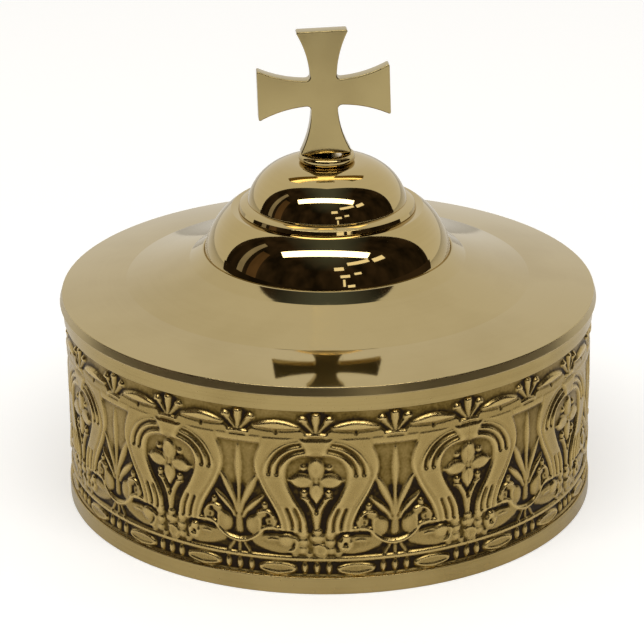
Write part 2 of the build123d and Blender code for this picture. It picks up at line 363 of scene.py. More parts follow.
class BrassEffects:
    """The node groups that the brass finishes share."""

    scratch_runs = ((0.5, 26.0), (-0.9, 20.0), (1.9, 31.0))
    bearing_share = 0.0004
    pit_share = 0.1

    def __init__(self) -> None:
        """Build each group once."""
        self.spun = self._spun()
        self.handled = self._handled()

    @staticmethod
    def _open(name: str, ins: Sequence[str], outs: Sequence[str]) -> tuple[NodePen, object, object]:
        """Return a pen on a new group with a Place input and these float sockets."""
        tree = bpy.data.node_groups.new(name, "ShaderNodeTree")
        tree.interface.new_socket(name="Place", in_out="INPUT", socket_type="NodeSocketVector")
        for label in ins:
            tree.interface.new_socket(name=label, in_out="INPUT", socket_type="NodeSocketFloat")
        for label in outs:
            tree.interface.new_socket(name=label, in_out="OUTPUT", socket_type="NodeSocketFloat")
        pen = NodePen(tree)
        return pen, pen.node("NodeGroupInput").outputs, pen.node("NodeGroupOutput").inputs

    def _spun(self) -> bpy.types.NodeTree:
        """Lathe marks: noise that changes with radius and height and hardly round the axis."""
        pen, given, result = self._open("spun_marks", ["Fineness"], ["Marks", "Radius"])
        xyz = pen.node("ShaderNodeSeparateXYZ", Vector=given["Place"]).outputs
        squares = [pen.math("MULTIPLY", xyz[axis], xyz[axis]) for axis in ("X", "Y")]
        radius = pen.math("SQRT", pen.math("ADD", *squares))
        bearing = pen.math("MULTIPLY", pen.math("ARCTAN2", xyz["Y"], xyz["X"]), self.bearing_share)
        spot = pen.node("ShaderNodeCombineXYZ", X=radius, Y=xyz["Z"], Z=bearing).outputs[0]
        pen.feed(result["Marks"], pen.noise(spot, given["Fineness"], 4.0))
        pen.feed(result["Radius"], radius)
        return pen.tree

    def _handled(self) -> bpy.types.NodeTree:
        """Age of a polished face: cloudy tarnish, hairline scratches and a few pits."""
        pen, given, result = self._open("handled_brass", ["Size"], ["Cloud", "Scratch", "Pit"])
        pen.feed(result["Cloud"], pen.noise(given["Place"], given["Size"], 5.0))
        lines = []
        for angle, stretch in self.scratch_runs:
            turned_place = pen.node("ShaderNodeMapping", Vector=given["Place"])
            turned_place.inputs["Rotation"].default_value = (0.3 * angle, 0.7 * angle, angle)
            turned_place.inputs["Scale"].default_value = (stretch, 1.0, stretch)
            streak = pen.noise(turned_place.outputs[0], pen.math("MULTIPLY", given["Size"], 1.1), 2.0)
            lines.append(pen.spread(streak, 0.69, 0.74, 0.0, 1.0))
        most = pen.math("MAXIMUM", pen.math("MAXIMUM", lines[0], lines[1]), lines[2])
        pen.feed(result["Scratch"], most)
        fine = pen.math("MULTIPLY", given["Size"], 4.0)
        cells = pen.node("ShaderNodeTexVoronoi", Vector=given["Place"], Scale=fine).outputs
        chance = pen.node("ShaderNodeSeparateColor", Color=cells["Color"]).outputs[0]
        few = pen.math("GREATER_THAN", chance, 1.0 - self.pit_share)
        dot = pen.spread(cells["Distance"], 0.03, 0.07, 1.0, 0.0)
        pen.feed(result["Pit"], pen.math("MULTIPLY", dot, few))
        return pen.tree


def new_material(name: str) -> tuple[bpy.types.Material, NodePen, bpy.types.Node]:
    """Return a new material, a pen on its tree and its Principled shader."""
    made = bpy.data.materials.new(name)
    made.use_nodes = True
    return made, NodePen(made.node_tree), made.node_tree.nodes["Principled BSDF"]


@dataclass(frozen=True)
class BrassFinish:
    """A polished or brushed brass: its colour, its gloss and how much the lathe and hands show.

    Radii and noise scales are in Blender's metres, because shader places are.
    """

    name: str
    bright: Colour
    dull: Colour
    rough: float
    rough_more: float
    fineness: float
    marks: float
    waves: float
    wave_size: float = 60.0
    cloud_size: float = 38.0
    tarnish: float = 0.35
    pits: float = 0.5
    edge_radius: float = 9.0
    edge_rough: float = 0.3

    def material(self, effects: BrassEffects) -> bpy.types.Material:
        """Return the finish as a Blender material.

        Colour goes from bright to dull with the clouds and pits, roughness rises with lathe
        marks, clouds and scratches, and the normal carries the marks and the polisher's waves.

        Args:
            effects: the shared node groups.

        Returns:
            The material.
        """
        made, pen, shader = new_material(self.name)
        spot = pen.node("ShaderNodeTexCoord").outputs["Object"]
        lathe = pen.group(effects.spun, Place=spot, Fineness=self.fineness).outputs
        spun = lathe["Marks"]
        handled = pen.group(effects.handled, Place=spot, Size=self.cloud_size).outputs
        cloud = pen.spread(handled["Cloud"], 0.42, 0.68, 0.0, self.tarnish)
        dirt = pen.math("MAXIMUM", cloud, pen.math("MULTIPLY", handled["Pit"], self.pits))
        ridges = pen.spread(spun, 0.3, 0.7, -0.5 * self.marks, 0.5 * self.marks)
        streaked = pen.math("ADD", dirt, ridges, clamp=True)
        pen.feed(shader.inputs["Base Color"], pen.mix(streaked, rgba(self.bright), rgba(self.dull)))
        worn = pen.math("MAXIMUM", pen.math("MULTIPLY", handled["Scratch"], 0.5), streaked)
        gloss = pen.spread(worn, 0.0, 1.0, self.rough, self.rough_more)
        start, stop = self.edge_radius - 2e-4, self.edge_radius + 1e-4
        rim = pen.spread(lathe["Radius"], start, stop, 0.0, self.edge_rough)
        pen.feed(shader.inputs["Roughness"], pen.math("ADD", gloss, rim))
        shader.inputs["Metallic"].default_value = 1.0
        fine = pen.node("ShaderNodeBump", Strength=0.25 * self.marks, Distance=2e-5, Height=spun)
        broad = pen.noise(spot, self.wave_size, 1.0)
        wavy = pen.node("ShaderNodeBump", Strength=self.waves, Distance=1e-4, Height=broad)
        pen.feed(wavy.inputs["Normal"], fine.outputs[0])
        pen.feed(shader.inputs["Normal"], wavy.outputs[0])
        return made


@dataclass(frozen=True)
class StruckFinish:
    """Die-struck brass with patina and painted shade in the hollows and the crests rubbed bright."""

    name: str
    crest: Colour
    flat: Colour
    patina: Colour
    # near-black painted shade with soot, for the deepest hollows
    soot_and_shade: Colour
    rough_crest: float
    rough_hollow: float
    cloud_size: float = 90.0
    grain_size: float = 1500.0

    def material(self, effects: BrassEffects) -> bpy.types.Material:
        """Return the finish as a Blender material.

        The piece's own values "hollow" and "crest" place the patina and the rubbed metal, and
        noise breaks their edges. The hollow colours are patina and painted shade, going to near
        black in the deepest recesses.

        Args:
            effects: the shared node groups.

        Returns:
            The material.
        """
        made, pen, shader = new_material(self.name)
        spot = pen.node("ShaderNodeTexCoord").outputs["Object"]
        handled = pen.group(effects.handled, Place=spot, Size=self.cloud_size).outputs
        grain = pen.noise(spot, self.grain_size, 3.0)
        values = {}
        for label in ("hollow", "crest"):
            read = pen.node("ShaderNodeAttribute")
            read.attribute_name = label
            values[label] = read.outputs["Fac"]
        uneven = pen.spread(handled["Cloud"], 0.3, 0.7, -0.13, 0.13)
        speckle = pen.spread(grain, 0.3, 0.7, -0.07, 0.07)
        hollow = pen.math("ADD", pen.math("ADD", values["hollow"], uneven), speckle, clamp=True)
        # hollow colours: patina, then near-black painted shade in the deepest recesses
        stained_and_shaded = pen.mix(pen.spread(hollow, 0.12, 0.58, 0.0, 1.0), rgba(self.flat), rgba(self.patina))
        sooty_and_shaded = pen.mix(pen.spread(hollow, 0.5, 0.82, 0.0, 1.0), stained_and_shaded, rgba(self.soot_and_shade))
        rubbed = pen.math("MULTIPLY", values["crest"], pen.spread(hollow, 0.25, 0.5, 1.0, 0.0))
        pen.feed(shader.inputs["Base Color"], pen.mix(rubbed, sooty_and_shaded, rgba(self.crest)))
        rough = pen.spread(hollow, 0.15, 0.8, self.rough_crest, self.rough_hollow)
        dust = pen.math("MULTIPLY", speckle, 0.5)
        pen.feed(shader.inputs["Roughness"], pen.math("ADD", rough, dust, clamp=True))
        pen.feed(shader.inputs["Metallic"], pen.spread(hollow, 0.55, 1.0, 1.0, 0.75))
        bump = pen.node("ShaderNodeBump", Strength=0.35, Distance=5e-5, Height=grain)
        pen.feed(shader.inputs["Normal"], bump.outputs[0])
        return made


POLISHED_PLATE = BrassFinish(
    "polished_plate_brass", bright=(0.495, 0.388, 0.187), dull=(0.375, 0.28, 0.115), rough=0.05,
    rough_more=0.13, fineness=900.0, marks=0.07, waves=0.02, edge_radius=0.07525, edge_rough=0.25)
MIRROR = BrassFinish(
    "mirror_brass", bright=(0.51, 0.392, 0.178), dull=(0.36, 0.265, 0.097), rough=0.025, rough_more=0.09,
    fineness=1200.0, marks=0.1, waves=0.02, tarnish=0.2)
CAST_CROSS = BrassFinish(
    "cast_cross_brass", bright=(0.455, 0.362, 0.168), dull=(0.335, 0.252, 0.105), rough=0.12,
    rough_more=0.24, fineness=700.0, marks=0.0, waves=0.03, tarnish=0.45)
TURNED = BrassFinish(
    "turned_moulding_brass", bright=(0.44, 0.332, 0.138), dull=(0.30, 0.216, 0.076), rough=0.20,
    rough_more=0.36, fineness=1400.0, marks=0.35, waves=0.03, tarnish=0.5)
GILT = BrassFinish(
    "gilt_inside_brass", bright=(0.68, 0.50, 0.20), dull=(0.52, 0.37, 0.13), rough=0.22, rough_more=0.38,
    fineness=1100.0, marks=0.4, waves=0.02)
FIXING = BrassFinish(
    "fixing_brass", bright=(0.50, 0.37, 0.14), dull=(0.30, 0.21, 0.08), rough=0.28, rough_more=0.5,
    fineness=1600.0, marks=0.3, waves=0.02, tarnish=0.7)
# the deepest hollow colour below is near-black painted shade with soot
STRUCK = StruckFinish(
    "struck_frieze_brass", crest=(0.58, 0.43, 0.17), flat=(0.37, 0.265, 0.095), patina=(0.155, 0.10, 0.022),
    soot_and_shade=(0.022, 0.012, 0.004), rough_crest=0.27, rough_hollow=0.55)


# The box


@dataclass(frozen=True)
class TurnedBox:
    """The spun cup with its turned foot and rim."""

    radius: float = 75.0
    foot_height: float = 4.9
    frieze_top: float = 53.4
    mouth: float = 57.9
    floor_lift: float = 2.0
    floor: float = 1.2
    corner: float = 1.5
    outer_corner: float = 2.5
    cup_outer: float = 73.15
    cup_inner: float = 72.15
    foot_inner: float = 67.65
    seat: float = 73.2
    edge: float = 0.3
    inner_edge: float = 0.12

    def cup(self) -> Shell:
        """Return the spun cup: floor and wall as one profile from axis to axis."""
        low, high = self.floor_lift, self.floor_lift + self.floor
        section = rounded_loop([
            (0.0, low, 0.0), (self.cup_outer, low, self.outer_corner),
            (self.cup_outer, self.mouth, self.inner_edge), (self.cup_inner, self.mouth, self.inner_edge),
            (self.cup_inner, high, self.corner), (0.0, high, 0.0)])
        return turned(section)

    def foot(self) -> Shell:
        """Return the foot moulding with the ledge that carries the cup."""
        soft, outer = self.inner_edge, self.edge
        return turned(rounded_loop([
            (self.foot_inner, 0.0, soft), (self.radius, 0.0, outer), (self.radius, self.foot_height, outer),
            (self.seat, self.foot_height, soft), (self.seat, self.floor_lift, 0.0),
            (self.foot_inner, self.floor_lift, soft)]), 360)

    def rim(self) -> Shell:
        """Return the plain moulding round the mouth."""
        soft, outer = self.inner_edge, self.edge
        return turned(rounded_loop([
            (self.seat, self.frieze_top, soft), (self.radius, self.frieze_top, outer),
            (self.radius, self.mouth, outer), (self.seat, self.mouth, soft)]), 360)

    def build(self, effects: BrassEffects) -> None:
        """Make and dress the three pieces.

        Args:
            effects: the shared node groups.
        """
        brass = TURNED.material(effects)
        place(self.foot(), "turned_foot", brass, Body.BOX, Slot.MOULDING, ["foot_ring"])
        place(self.rim(), "turned_rim", brass, Body.BOX, Slot.MOULDING, ["rim_ring"])
        place(self.cup(), "spun_cup", GILT.material(effects), Body.BOX, Slot.INSIDE, ["inner_cup"])


# The frieze


def along_span(x: Array, v: Array, p: Array, q: Array) -> tuple[Array, Array]:
    """Return where a span's nearest place to each point lies, and how far off it is.

    The place is the point's foot on the span's line, held between the ends.

    Args:
        x: places across.
        v: heights.
        p: first end, its place and height in front.
        q: last end.

    Returns:
        The share of the way along the span, from 0 to 1, and the distance in mm.
    """
    run = q[:2] - p[:2]
    share = np.clip(((x - p[0]) * run[0] + (v - p[1]) * run[1]) / max(run @ run, 1e-9), 0.0, 1.0)
    return share, np.hypot(x - p[0] - share * run[0], v - p[1] - share * run[1])


class ReliefField:
    """Height of the struck strip over one repeat, built up feature by feature, in mm."""

    def __init__(self, u: Array, v: Array, half: float) -> None:
        """Start from a bare strip.

        Args:
            u: distance along the strip from the lyre's axis.
            v: height above the table.
            half: half the length of a repeat.
        """
        lyre = np.abs(u)
        sprig = half - lyre
        self.places = {Across.LEFT_TO_RIGHT: u, Across.LYRE: lyre, Across.SPRIG: sprig,
                       Across.NEAREST: np.minimum(lyre, sprig)}
        self.v = v
        self.h = np.zeros_like(u)
        self.x = u

    def measure_from(self, across: Across) -> None:
        """Choose what the next features are measured from."""
        self.x = self.places[across]

    def stroke(self, points: Sequence[Sequence[float]]) -> Array:
        """Return 1 on a line of changing half-width, 0 at its edge and less outside.

        It is one less the distance to the line over the half-width there, at the nearest span.

        Args:
            points: rows of x, v and half-width along the line.

        Returns:
            The measure over the whole field.
        """
        line = smooth_line(points) if len(points) > 2 else np.asarray(points, float)
        room = line[:, 2].max() + 0.05
        low, high = line[:, :2].min(0) - room, line[:, :2].max(0) + room
        near = (self.x > low[0]) & (self.x < high[0]) & (self.v > low[1]) & (self.v < high[1])
        x, v = self.x[near], self.v[near]
        best = np.full(x.shape, -1.0)
        for p, q in zip(line[:-1], line[1:]):
            share, gap = along_span(x, v, p, q)
            best = np.maximum(best, 1.0 - gap / (p[2] + share * (q[2] - p[2])))
        measure = np.full(self.h.shape, -1.0)
        measure[near] = best
        return measure

    def oval(self, x: float, v: float, half_x: float, half_v: float) -> Array:
        """Return 1 at the middle of an oval, 0 at its edge and less outside."""
        return 1.0 - np.hypot((self.x - x) / half_x, (self.v - v) / half_v)

    def region(self, outline: Array) -> Array:
        """Return how far inside a closed outline each point lies, negative outside.

        Inside means that a ray to the right crosses the outline an odd number of times.

        Args:
            outline: rows of x and v.

        Returns:
            Distance to the outline in mm, with its sign.
        """
        gap = np.full(self.h.shape, 99.0)
        inside = np.zeros(self.h.shape, bool)
        for p, q in zip(outline, np.roll(outline, -1, axis=0)):
            gap = np.minimum(gap, along_span(self.x, self.v, p, q)[1])
            run = q - p
            crossing = p[0] + (self.v - p[1]) * run[0] / (run[1] if abs(run[1]) > 1e-9 else 1e-9)
            inside ^= ((p[1] > self.v) != (q[1] > self.v)) & (self.x < crossing)
        return np.where(inside, gap, -gap)

    def raise_roll(self, measure: Array, base: float, rise: float) -> None:
        """Lay a half-round swelling over the field: base plus rise times sqrt(1 - (1 - m)^2)."""
        swell = np.sqrt(1.0 - (1.0 - np.clip(measure, 0.0, 1.0)) ** 2)
        self.h = np.where(measure > 0, np.maximum(self.h, base + rise * swell), self.h)

    def sink(self, measure: Array, depth: float, sharp: float = 1.6) -> None:
        """Press a hollow of this depth where the measure is above 0."""
        self.h = self.h - depth * ease(measure * sharp)

    def rolls(self, rows: Sequence[tuple]) -> None:
        """Lay several swellings, each a line of points, a base and a rise."""
        for points, base, rise in rows:
            self.raise_roll(self.stroke(points), base, rise)

    def ovals(self, rows: Sequence[tuple]) -> None:
        """Lay several rounded bosses, each a place, two half-sizes, a base and a rise."""
        for x, v, half_x, half_v, base, rise in rows:
            self.raise_roll(self.oval(x, v, half_x, half_v), base, rise)


def softened(h: Array, reach: int) -> Array:
    """Return a field after three running means each way, which is close to a Gaussian blur.

    Args:
        h: the field.
        reach: cells on each side that a mean takes in.

    Returns:
        The softened field, its borders mirrored.
    """
    span = 2 * reach + 1
    for axis in (0, 1, 0, 1, 0, 1):
        room = [(0, 0), (0, 0)]
        room[axis] = (reach + 1, reach)
        total = np.moveaxis(np.cumsum(np.pad(h, room, mode="reflect"), axis=axis), axis, 0)
        h = np.moveaxis((total[span:] - total[:-span]) / span, 0, axis)
    return h


@dataclass(frozen=True)
class Frieze:
    """Die-struck strip: eleven repeats of a lyre and a sprig, each a panel of its own."""

    repeats: int = 11
    bearing: float = -7.3
    bottom: float = 4.9
    top: float = 53.4
    ground_radius: float = 73.8
    back_radius: float = 73.2
    full_height: float = 1.0
    columns: int = 248
    rows: int = 272
    seam_panel: int = 1
    face: float = 0.84
    field: float = 0.26
    deep: float = -0.26
    half: float = 21.365
    back_wear_and_shade: float = 0.3

    def top_border(self, f: ReliefField) -> None:
        """Raise the lunettes and the palmettes between them."""
        f.h = np.full(f.h.shape, self.field - 0.1)
        f.measure_from(Across.LYRE)
        x = f.x - 10.68
        reach = np.hypot(x, f.v - 37.3)
        above = (f.v > 45.55) & (np.abs(x) < 8.0)
        f.h = np.where(above, np.maximum(f.h, (self.face - 0.26) * ease((12.9 - reach) / 0.6)), f.h)
        lens = np.minimum(12.95 - reach, f.v - 47.75 - 0.012 * x ** 2)
        f.raise_roll(np.where(above, lens / 0.95, -1.0), 0.5, 0.5)
        line = 1.0 - np.abs(f.v - 47.45 - 0.012 * x ** 2) / 0.42
        f.sink(np.where(above & (np.abs(x) < 6.6), line, -1.0), 0.24)
        f.sink(f.oval(10.7, 46.9, 0.46, 0.44), 0.8)
        f.measure_from(Across.NEAREST)
        cleared = 1.0 - np.hypot(f.x / 4.9, (f.v - 49.9) / 3.9)
        f.h = np.where(f.v > 46.3, f.h - 0.85 * f.h * ease(3.2 * cleared), f.h)
        f.rolls([
            ([(0.4, 46.9, 0.34), (1.3, 47.9, 0.5), (2.3, 49.2, 0.72), (3.3, 50.3, 0.95)], 0.05, 0.55),
            ([(2.9, 50.6, 0.62), (3.6, 50.9, 0.78), (4.2, 50.6, 0.6)], 0.4, 0.58),
            ([(0.0, 46.7, 0.36), (0.0, 48.6, 0.62), (0.0, 50.3, 1.1), (0.0, 51.6, 1.15)], 0.1, 0.62),
            ([(-0.35, 51.9, 0.72), (0.35, 51.9, 0.72)], 0.45, 0.54),
            ([(0.0, 46.3, 0.5), (1.9, 46.3, 0.5), (2.8, 46.05, 0.4)], 0.45, 0.5)])
        fillet = ease((45.75 - f.v) / 0.3) * ease((f.v - 43.25) / 0.35)
        f.h = np.maximum(f.h, fillet * (self.face - 0.1))

    def sprig(self, f: ReliefField) -> None:
        """Sink the sprig's bay and raise its leaves."""
        f.measure_from(Across.SPRIG)
        edge = smooth_line([
            (6.4, 43.4), (5.1, 40.8), (4.42, 37.9), (4.6, 35.2), (5.55, 32.9), (6.95, 29.8), (8.65, 26.7),
            (10.15, 23.8), (11.2, 21.0), (11.4, 19.4), (11.4, 17.0)])
        bay = f.region(np.vstack([[(-3.0, 43.4)], edge, [(-3.0, 17.0)]]))
        slant = f.v - 1.1 * np.abs(f.x - 2.6)
        sunk = self.field + (self.deep - self.field) * ease((32.6 - slant) / 8.5)
        f.h = np.where(bay > 0, sunk + (f.h - sunk) * (1.0 - ease(bay / 0.5)), f.h)
        f.rolls([
            ([(0.0, 42.4, 0.15), (0.0, 40.0, 0.6), (0.0, 36.6, 0.98), (0.0, 33.5, 0.75), (0.0, 30.5, 0.5),
              (0.0, 26.0, 0.42), (0.0, 21.0, 0.45)], 0.22, 0.52),
            ([(5.3, 34.0, 0.3), (4.5, 32.6, 0.75), (3.4, 30.4, 1.05), (2.2, 27.8, 1.0), (1.2, 25.4, 0.7),
              (0.5, 22.6, 0.45)], 0.08, 0.62),
            ([(6.8, 28.1, 0.25), (5.7, 26.9, 0.72), (4.3, 25.6, 1.0), (3.0, 24.2, 0.92), (2.0, 22.9, 0.62),
              (1.2, 21.2, 0.4)], 0.05, 0.7),
            ([(0.0, 21.6, 0.7), (0.0, 19.5, 1.0), (0.0, 17.3, 1.0)], 0.0, 0.55)])

    def lyre(self, f: ReliefField) -> None:
        """Raise the lyre's border, its fluted straps and the keystone that joins them."""
        f.measure_from(Across.LYRE)
        edge = smooth_line([
            (14.9, 45.6), (15.2, 43.6), (16.3, 40.8), (16.95, 37.9), (16.75, 35.2), (15.8, 32.9),
            (14.4, 29.8), (12.7, 26.7), (11.2, 23.8), (10.1, 21.0), (9.9, 19.4), (9.9, 17.6)])
        border = f.region(np.vstack([[(-3.0, 45.6)], edge, [(-3.0, 17.6)]]))
        level = (self.face - 0.1) * ease((border + 0.1) / 0.5)
        f.h = np.where(border > 0, np.maximum(f.h * (1.0 - ease(border / 0.4)), level), f.h)
        bead = 1.0 - np.abs(border - 0.55) / 0.5
        f.h = f.h + 0.14 * ease((40.0 - f.v) / 5.0) * ease(bead * 1.5) * (border > 0)
        outer = smooth_line([
            (4.6, 44.7), (6.6, 44.35), (9.2, 43.25), (11.6, 41.5), (13.4, 39.1), (14.5, 36.6), (14.8, 34.8),
            (14.1, 32.3), (12.5, 29.2), (10.9, 26.6), (9.6, 24.2), (8.75, 21.6), (8.3, 19.2), (8.3, 17.6)])
        inner = smooth_line([
            (3.1, 17.6), (2.95, 19.2), (3.2, 21.2), (3.9, 23.3), (5.0, 25.6), (6.3, 27.9), (7.6, 30.6),
            (8.5, 33.0), (8.65, 35.0), (8.3, 36.9), (7.3, 38.7), (5.6, 39.9), (3.9, 40.45), (2.2, 40.6)])
        strap = f.region(np.vstack([outer, inner]))
        window = f.region(np.vstack([inner, [(-3.0, 40.6), (-3.0, 17.6)]]))
        sunk = self.field + (self.deep - self.field) * ease((34.5 - f.v) / 6.0)
        f.h = np.where(window > 0, sunk + (f.h - sunk) * (1.0 - ease(window / 0.45)), f.h)
        between = (border > 0.3) & (window < -0.5) & (f.x > 4.6)
        f.sink(np.where(between, 1.0 - np.abs(strap + 0.1) / 0.45, -1.0), 0.24)
        f.h = np.where(strap > 0, np.maximum(f.h, (self.face + 0.03) * ease((strap + 0.2) / 0.6)), f.h)
        upper = ease((f.v - 34.3) / 0.45)
        lower = ease((25.4 - f.v) / 0.45) * ease((f.v - 18.2) / 0.5)
        flutes = [
            (upper, [(4.5, 43.55, 0.7), (6.5, 43.15, 0.8), (8.3, 42.3, 0.82), (10.2, 40.85, 0.84),
                     (11.4, 39.3, 0.84), (12.35, 37.6, 0.84), (12.75, 36.0, 0.82), (12.8, 34.0, 0.8)]),
            (upper, [(3.5, 41.95, 0.7), (5.3, 41.5, 0.8), (7.2, 40.65, 0.82), (8.8, 39.35, 0.84),
                     (9.85, 37.9, 0.84), (10.45, 36.4, 0.84), (10.75, 34.0, 0.8)]),
            (lower, [(6.35, 25.7, 0.66), (5.2, 23.0, 0.78), (4.65, 21.0, 0.78), (4.45, 18.3, 0.7)]),
            (lower, [(8.4, 25.7, 0.66), (7.3, 22.7, 0.78), (6.7, 20.5, 0.78), (6.55, 18.3, 0.7)])]
        for reach, points in flutes:
            f.sink(f.stroke(points) * reach, 0.66, 1.4)
        for level_line in (33.95, 25.85):
            f.sink(np.where(strap > 0.35, 1.0 - np.abs(f.v - level_line) / 0.34, -1.0), 0.1)
        side = smooth_line([(4.9, 45.1), (3.75, 43.7), (2.95, 42.2), (2.75, 41.0), (2.35, 40.2)])
        notch = [(1.7, 40.35), (1.15, 40.95), (0.0, 41.25), (-3.0, 41.25)]
        key = f.region(np.vstack([[(-3.0, 45.1)], side, notch]))
        f.sink(np.where((key < 0) & (f.v < 44.9) & (f.v > 40.9), 1.0 + key / 0.4, -1.0), 0.14)
        f.h = np.where(key > 0, np.maximum(f.h, 0.95 * ease((key + 0.15) / 0.55)), f.h)
        for level_line in (42.5, 41.85):
            f.sink(np.where((key > 0.2) & (f.x < 1.5), 1.0 - np.abs(f.v - level_line) / 0.3, -1.0), 0.1)

    def flower(self, f: ReliefField) -> None:
        """Raise the flower inside the lyre, over the forked stem that carries it."""
        f.measure_from(Across.LYRE)
        f.sink(np.maximum(f.oval(0.0, 33.2, 6.0, 6.3), f.oval(0.0, 33.2, 7.9, 3.4)), 0.42, 2.4)
        f.h = np.maximum(f.h, self.deep)
        f.rolls([
            ([(0.0, 34.8, 1.0), (0.0, 36.0, 2.25), (0.0, 37.2, 2.2), (0.0, 38.4, 1.45), (0.0, 39.3, 0.5)],
             0.2, 0.7),
            ([(1.6, 33.2, 0.9), (2.9, 33.2, 2.1), (4.3, 33.2, 2.2), (5.5, 33.2, 1.5), (6.3, 33.2, 0.6)],
             0.2, 0.7),
            ([(0.0, 31.7, 1.1), (0.0, 30.4, 2.0), (0.0, 29.2, 1.75), (0.0, 27.9, 0.9), (0.0, 26.7, 0.3)],
             0.2, 0.68)])
        f.ovals([
            (0.0, 33.3, 0.68, 0.72, 0.3, 0.5), (3.45, 36.9, 0.95, 1.0, 0.1, 0.8),
            (3.3, 29.5, 0.95, 1.0, 0.1, 0.8), (7.25, 33.3, 0.55, 0.6, 0.1, 0.6)])
        for crease in ([(0.0, 35.0, 0.3), (0.0, 36.6, 0.3)], [(1.8, 33.2, 0.3), (3.6, 33.15, 0.3)],
                       [(0.0, 31.6, 0.3), (0.0, 30.0, 0.3)]):
            f.sink(f.stroke(crease), 0.12)
        f.rolls([
            ([(0.0, 23.0, 1.3), (0.0, 20.5, 0.85), (0.0, 18.4, 0.55)], 0.08, 0.64),
            ([(0.55, 23.6, 0.75), (1.3, 25.3, 0.68), (2.3, 27.0, 0.65), (3.4, 28.0, 0.48)], 0.12, 0.62),
            ([(2.2, 27.75, 0.34), (3.1, 28.15, 0.44), (3.9, 28.1, 0.34)], 0.45, 0.46),
            ([(1.75, 24.0, 0.3), (1.9, 21.5, 0.36), (1.75, 19.0, 0.3)], self.deep, 0.32)])
        f.sink(f.oval(0.0, 24.2, 0.72, 0.72), 0.75, 2.0)

    def lower_fruit(self, f: ReliefField) -> None:
        """Raise the shells, horns, cords and fruit along the foot of the ornament."""
        f.h = f.h + (self.deep - f.h) * ease((18.3 - f.v) / 0.5)
        f.measure_from(Across.LYRE)
        backing = ease((7.4 - f.x) / 1.6) * ease((18.4 - f.v) / 0.6)
        f.h = np.maximum(f.h, self.deep + (0.2 - self.deep) * backing)
        f.rolls([([(5.0, 18.4, 0.5), (7.0, 18.6, 0.62), (9.0, 18.55, 0.6), (11.2, 18.3, 0.45)], 0.1, 0.42)])
        f.measure_from(Across.SPRIG)
        f.rolls([
            ([(0.0, 21.6, 0.7), (0.0, 19.5, 1.0), (0.0, 17.3, 1.0)], 0.0, 0.55),
            ([(7.2, 25.4, 0.78), (7.25, 25.1, 0.78)], 0.15, 0.64),
            ([(7.2, 24.9, 0.45), (7.7, 24.2, 0.5), (7.7, 23.4, 0.45)], 0.0, 0.5),
            ([(9.4, 22.4, 0.45), (8.4, 23.4, 0.52), (7.0, 23.7, 0.52), (5.6, 23.2, 0.45)], 0.42, 0.54),
            ([(7.0, 22.7, 0.9), (5.8, 22.0, 1.1), (4.8, 20.8, 1.2)], 0.1, 0.5),
            ([(9.6, 22.0, 0.55), (10.1, 20.7, 0.66), (9.6, 19.4, 0.6)], 0.1, 0.6),
            ([(9.4, 19.0, 0.9), (8.3, 18.9, 0.95), (7.2, 18.6, 0.75)], 0.2, 0.62)])
        f.ovals([(4.1, 19.2, 2.2, 2.9, 0.12, 0.58), (8.6, 20.8, 1.35, 1.3, 0.1, 0.5)])
        f.rolls([([(5.7, 21.6, 0.36), (6.1, 20.0, 0.42), (5.7, 18.3, 0.36)], 0.42, 0.4)])
        f.sink(f.oval(6.9, 20.0, 0.6, 1.1), 0.5)
        f.sink(f.oval(8.5, 20.8, 0.55, 0.5), 0.55)
        rim = smooth_line([(3.5, 14.3), (4.8, 15.9), (6.8, 16.8), (9.2, 17.1), (11.0, 17.2), (12.8, 16.6)])
        keel = smooth_line([
            (15.9, 12.0), (14.0, 11.6), (12.0, 11.4), (10.5, 11.5), (8.0, 12.0), (5.7, 12.9), (4.4, 13.5),
            (3.5, 14.3)])
        bowl = f.region(np.vstack([rim, keel]))
        f.raise_roll(bowl / 1.2, 0.16, 0.36)
        f.h = f.h - 0.12 * ease((bowl - 0.75) / 1.3) * (bowl > 0)
        f.rolls([([(8.0, 15.3, 0.3), (9.4, 15.55, 0.44), (11.0, 15.4, 0.34)], 0.4, 0.4)])
        f.sink(f.oval(8.75, 17.55, 1.4, 0.5), 0.9)
        f.rolls([
            ([(7.0, 18.6, 0.66), (5.9, 17.1, 0.6), (4.3, 15.75, 0.6), (2.4, 14.75, 0.68), (0.0, 14.3, 0.78)],
             0.35, 0.58),
            ([(0.0, 13.6, 0.36), (0.0, 10.6, 0.36)], 0.0, 0.6),
            ([(1.5, 13.5, 0.36), (2.3, 12.3, 0.36), (3.1, 11.0, 0.36)], 0.0, 0.6)])
        f.measure_from(Across.LYRE)
        f.ovals([
            (3.75, 17.5, 1.4, 1.2, 0.3, 0.55), (3.6, 15.2, 1.45, 1.35, 0.25, 0.6),
            (3.8, 12.8, 1.45, 1.4, 0.2, 0.6), (5.7, 18.2, 0.9, 0.7, 0.3, 0.5),
            (5.9, 11.9, 1.2, 0.95, 0.2, 0.5), (2.0, 11.6, 0.95, 0.8, 0.2, 0.5)])
        f.rolls([
            ([(2.9, 18.7, 0.4), (3.35, 18.0, 0.5), (3.0, 17.4, 0.4)], 0.4, 0.46),
            ([(8.9, 18.6, 0.45), (10.2, 19.0, 0.55), (11.4, 19.0, 0.45)], 0.42, 0.46)])
        f.measure_from(Across.LEFT_TO_RIGHT)
        f.ovals([
            (0.35, 16.4, 2.0, 1.45, 0.35, 0.55), (0.2, 18.4, 1.25, 0.75, 0.42, 0.55),
            (0.9, 12.7, 1.8, 1.8, 0.3, 0.55), (-8.1, 15.4, 2.3, 2.05, 0.35, 0.6),
            (8.0, 16.7, 1.15, 0.68, 0.45, 0.5)])
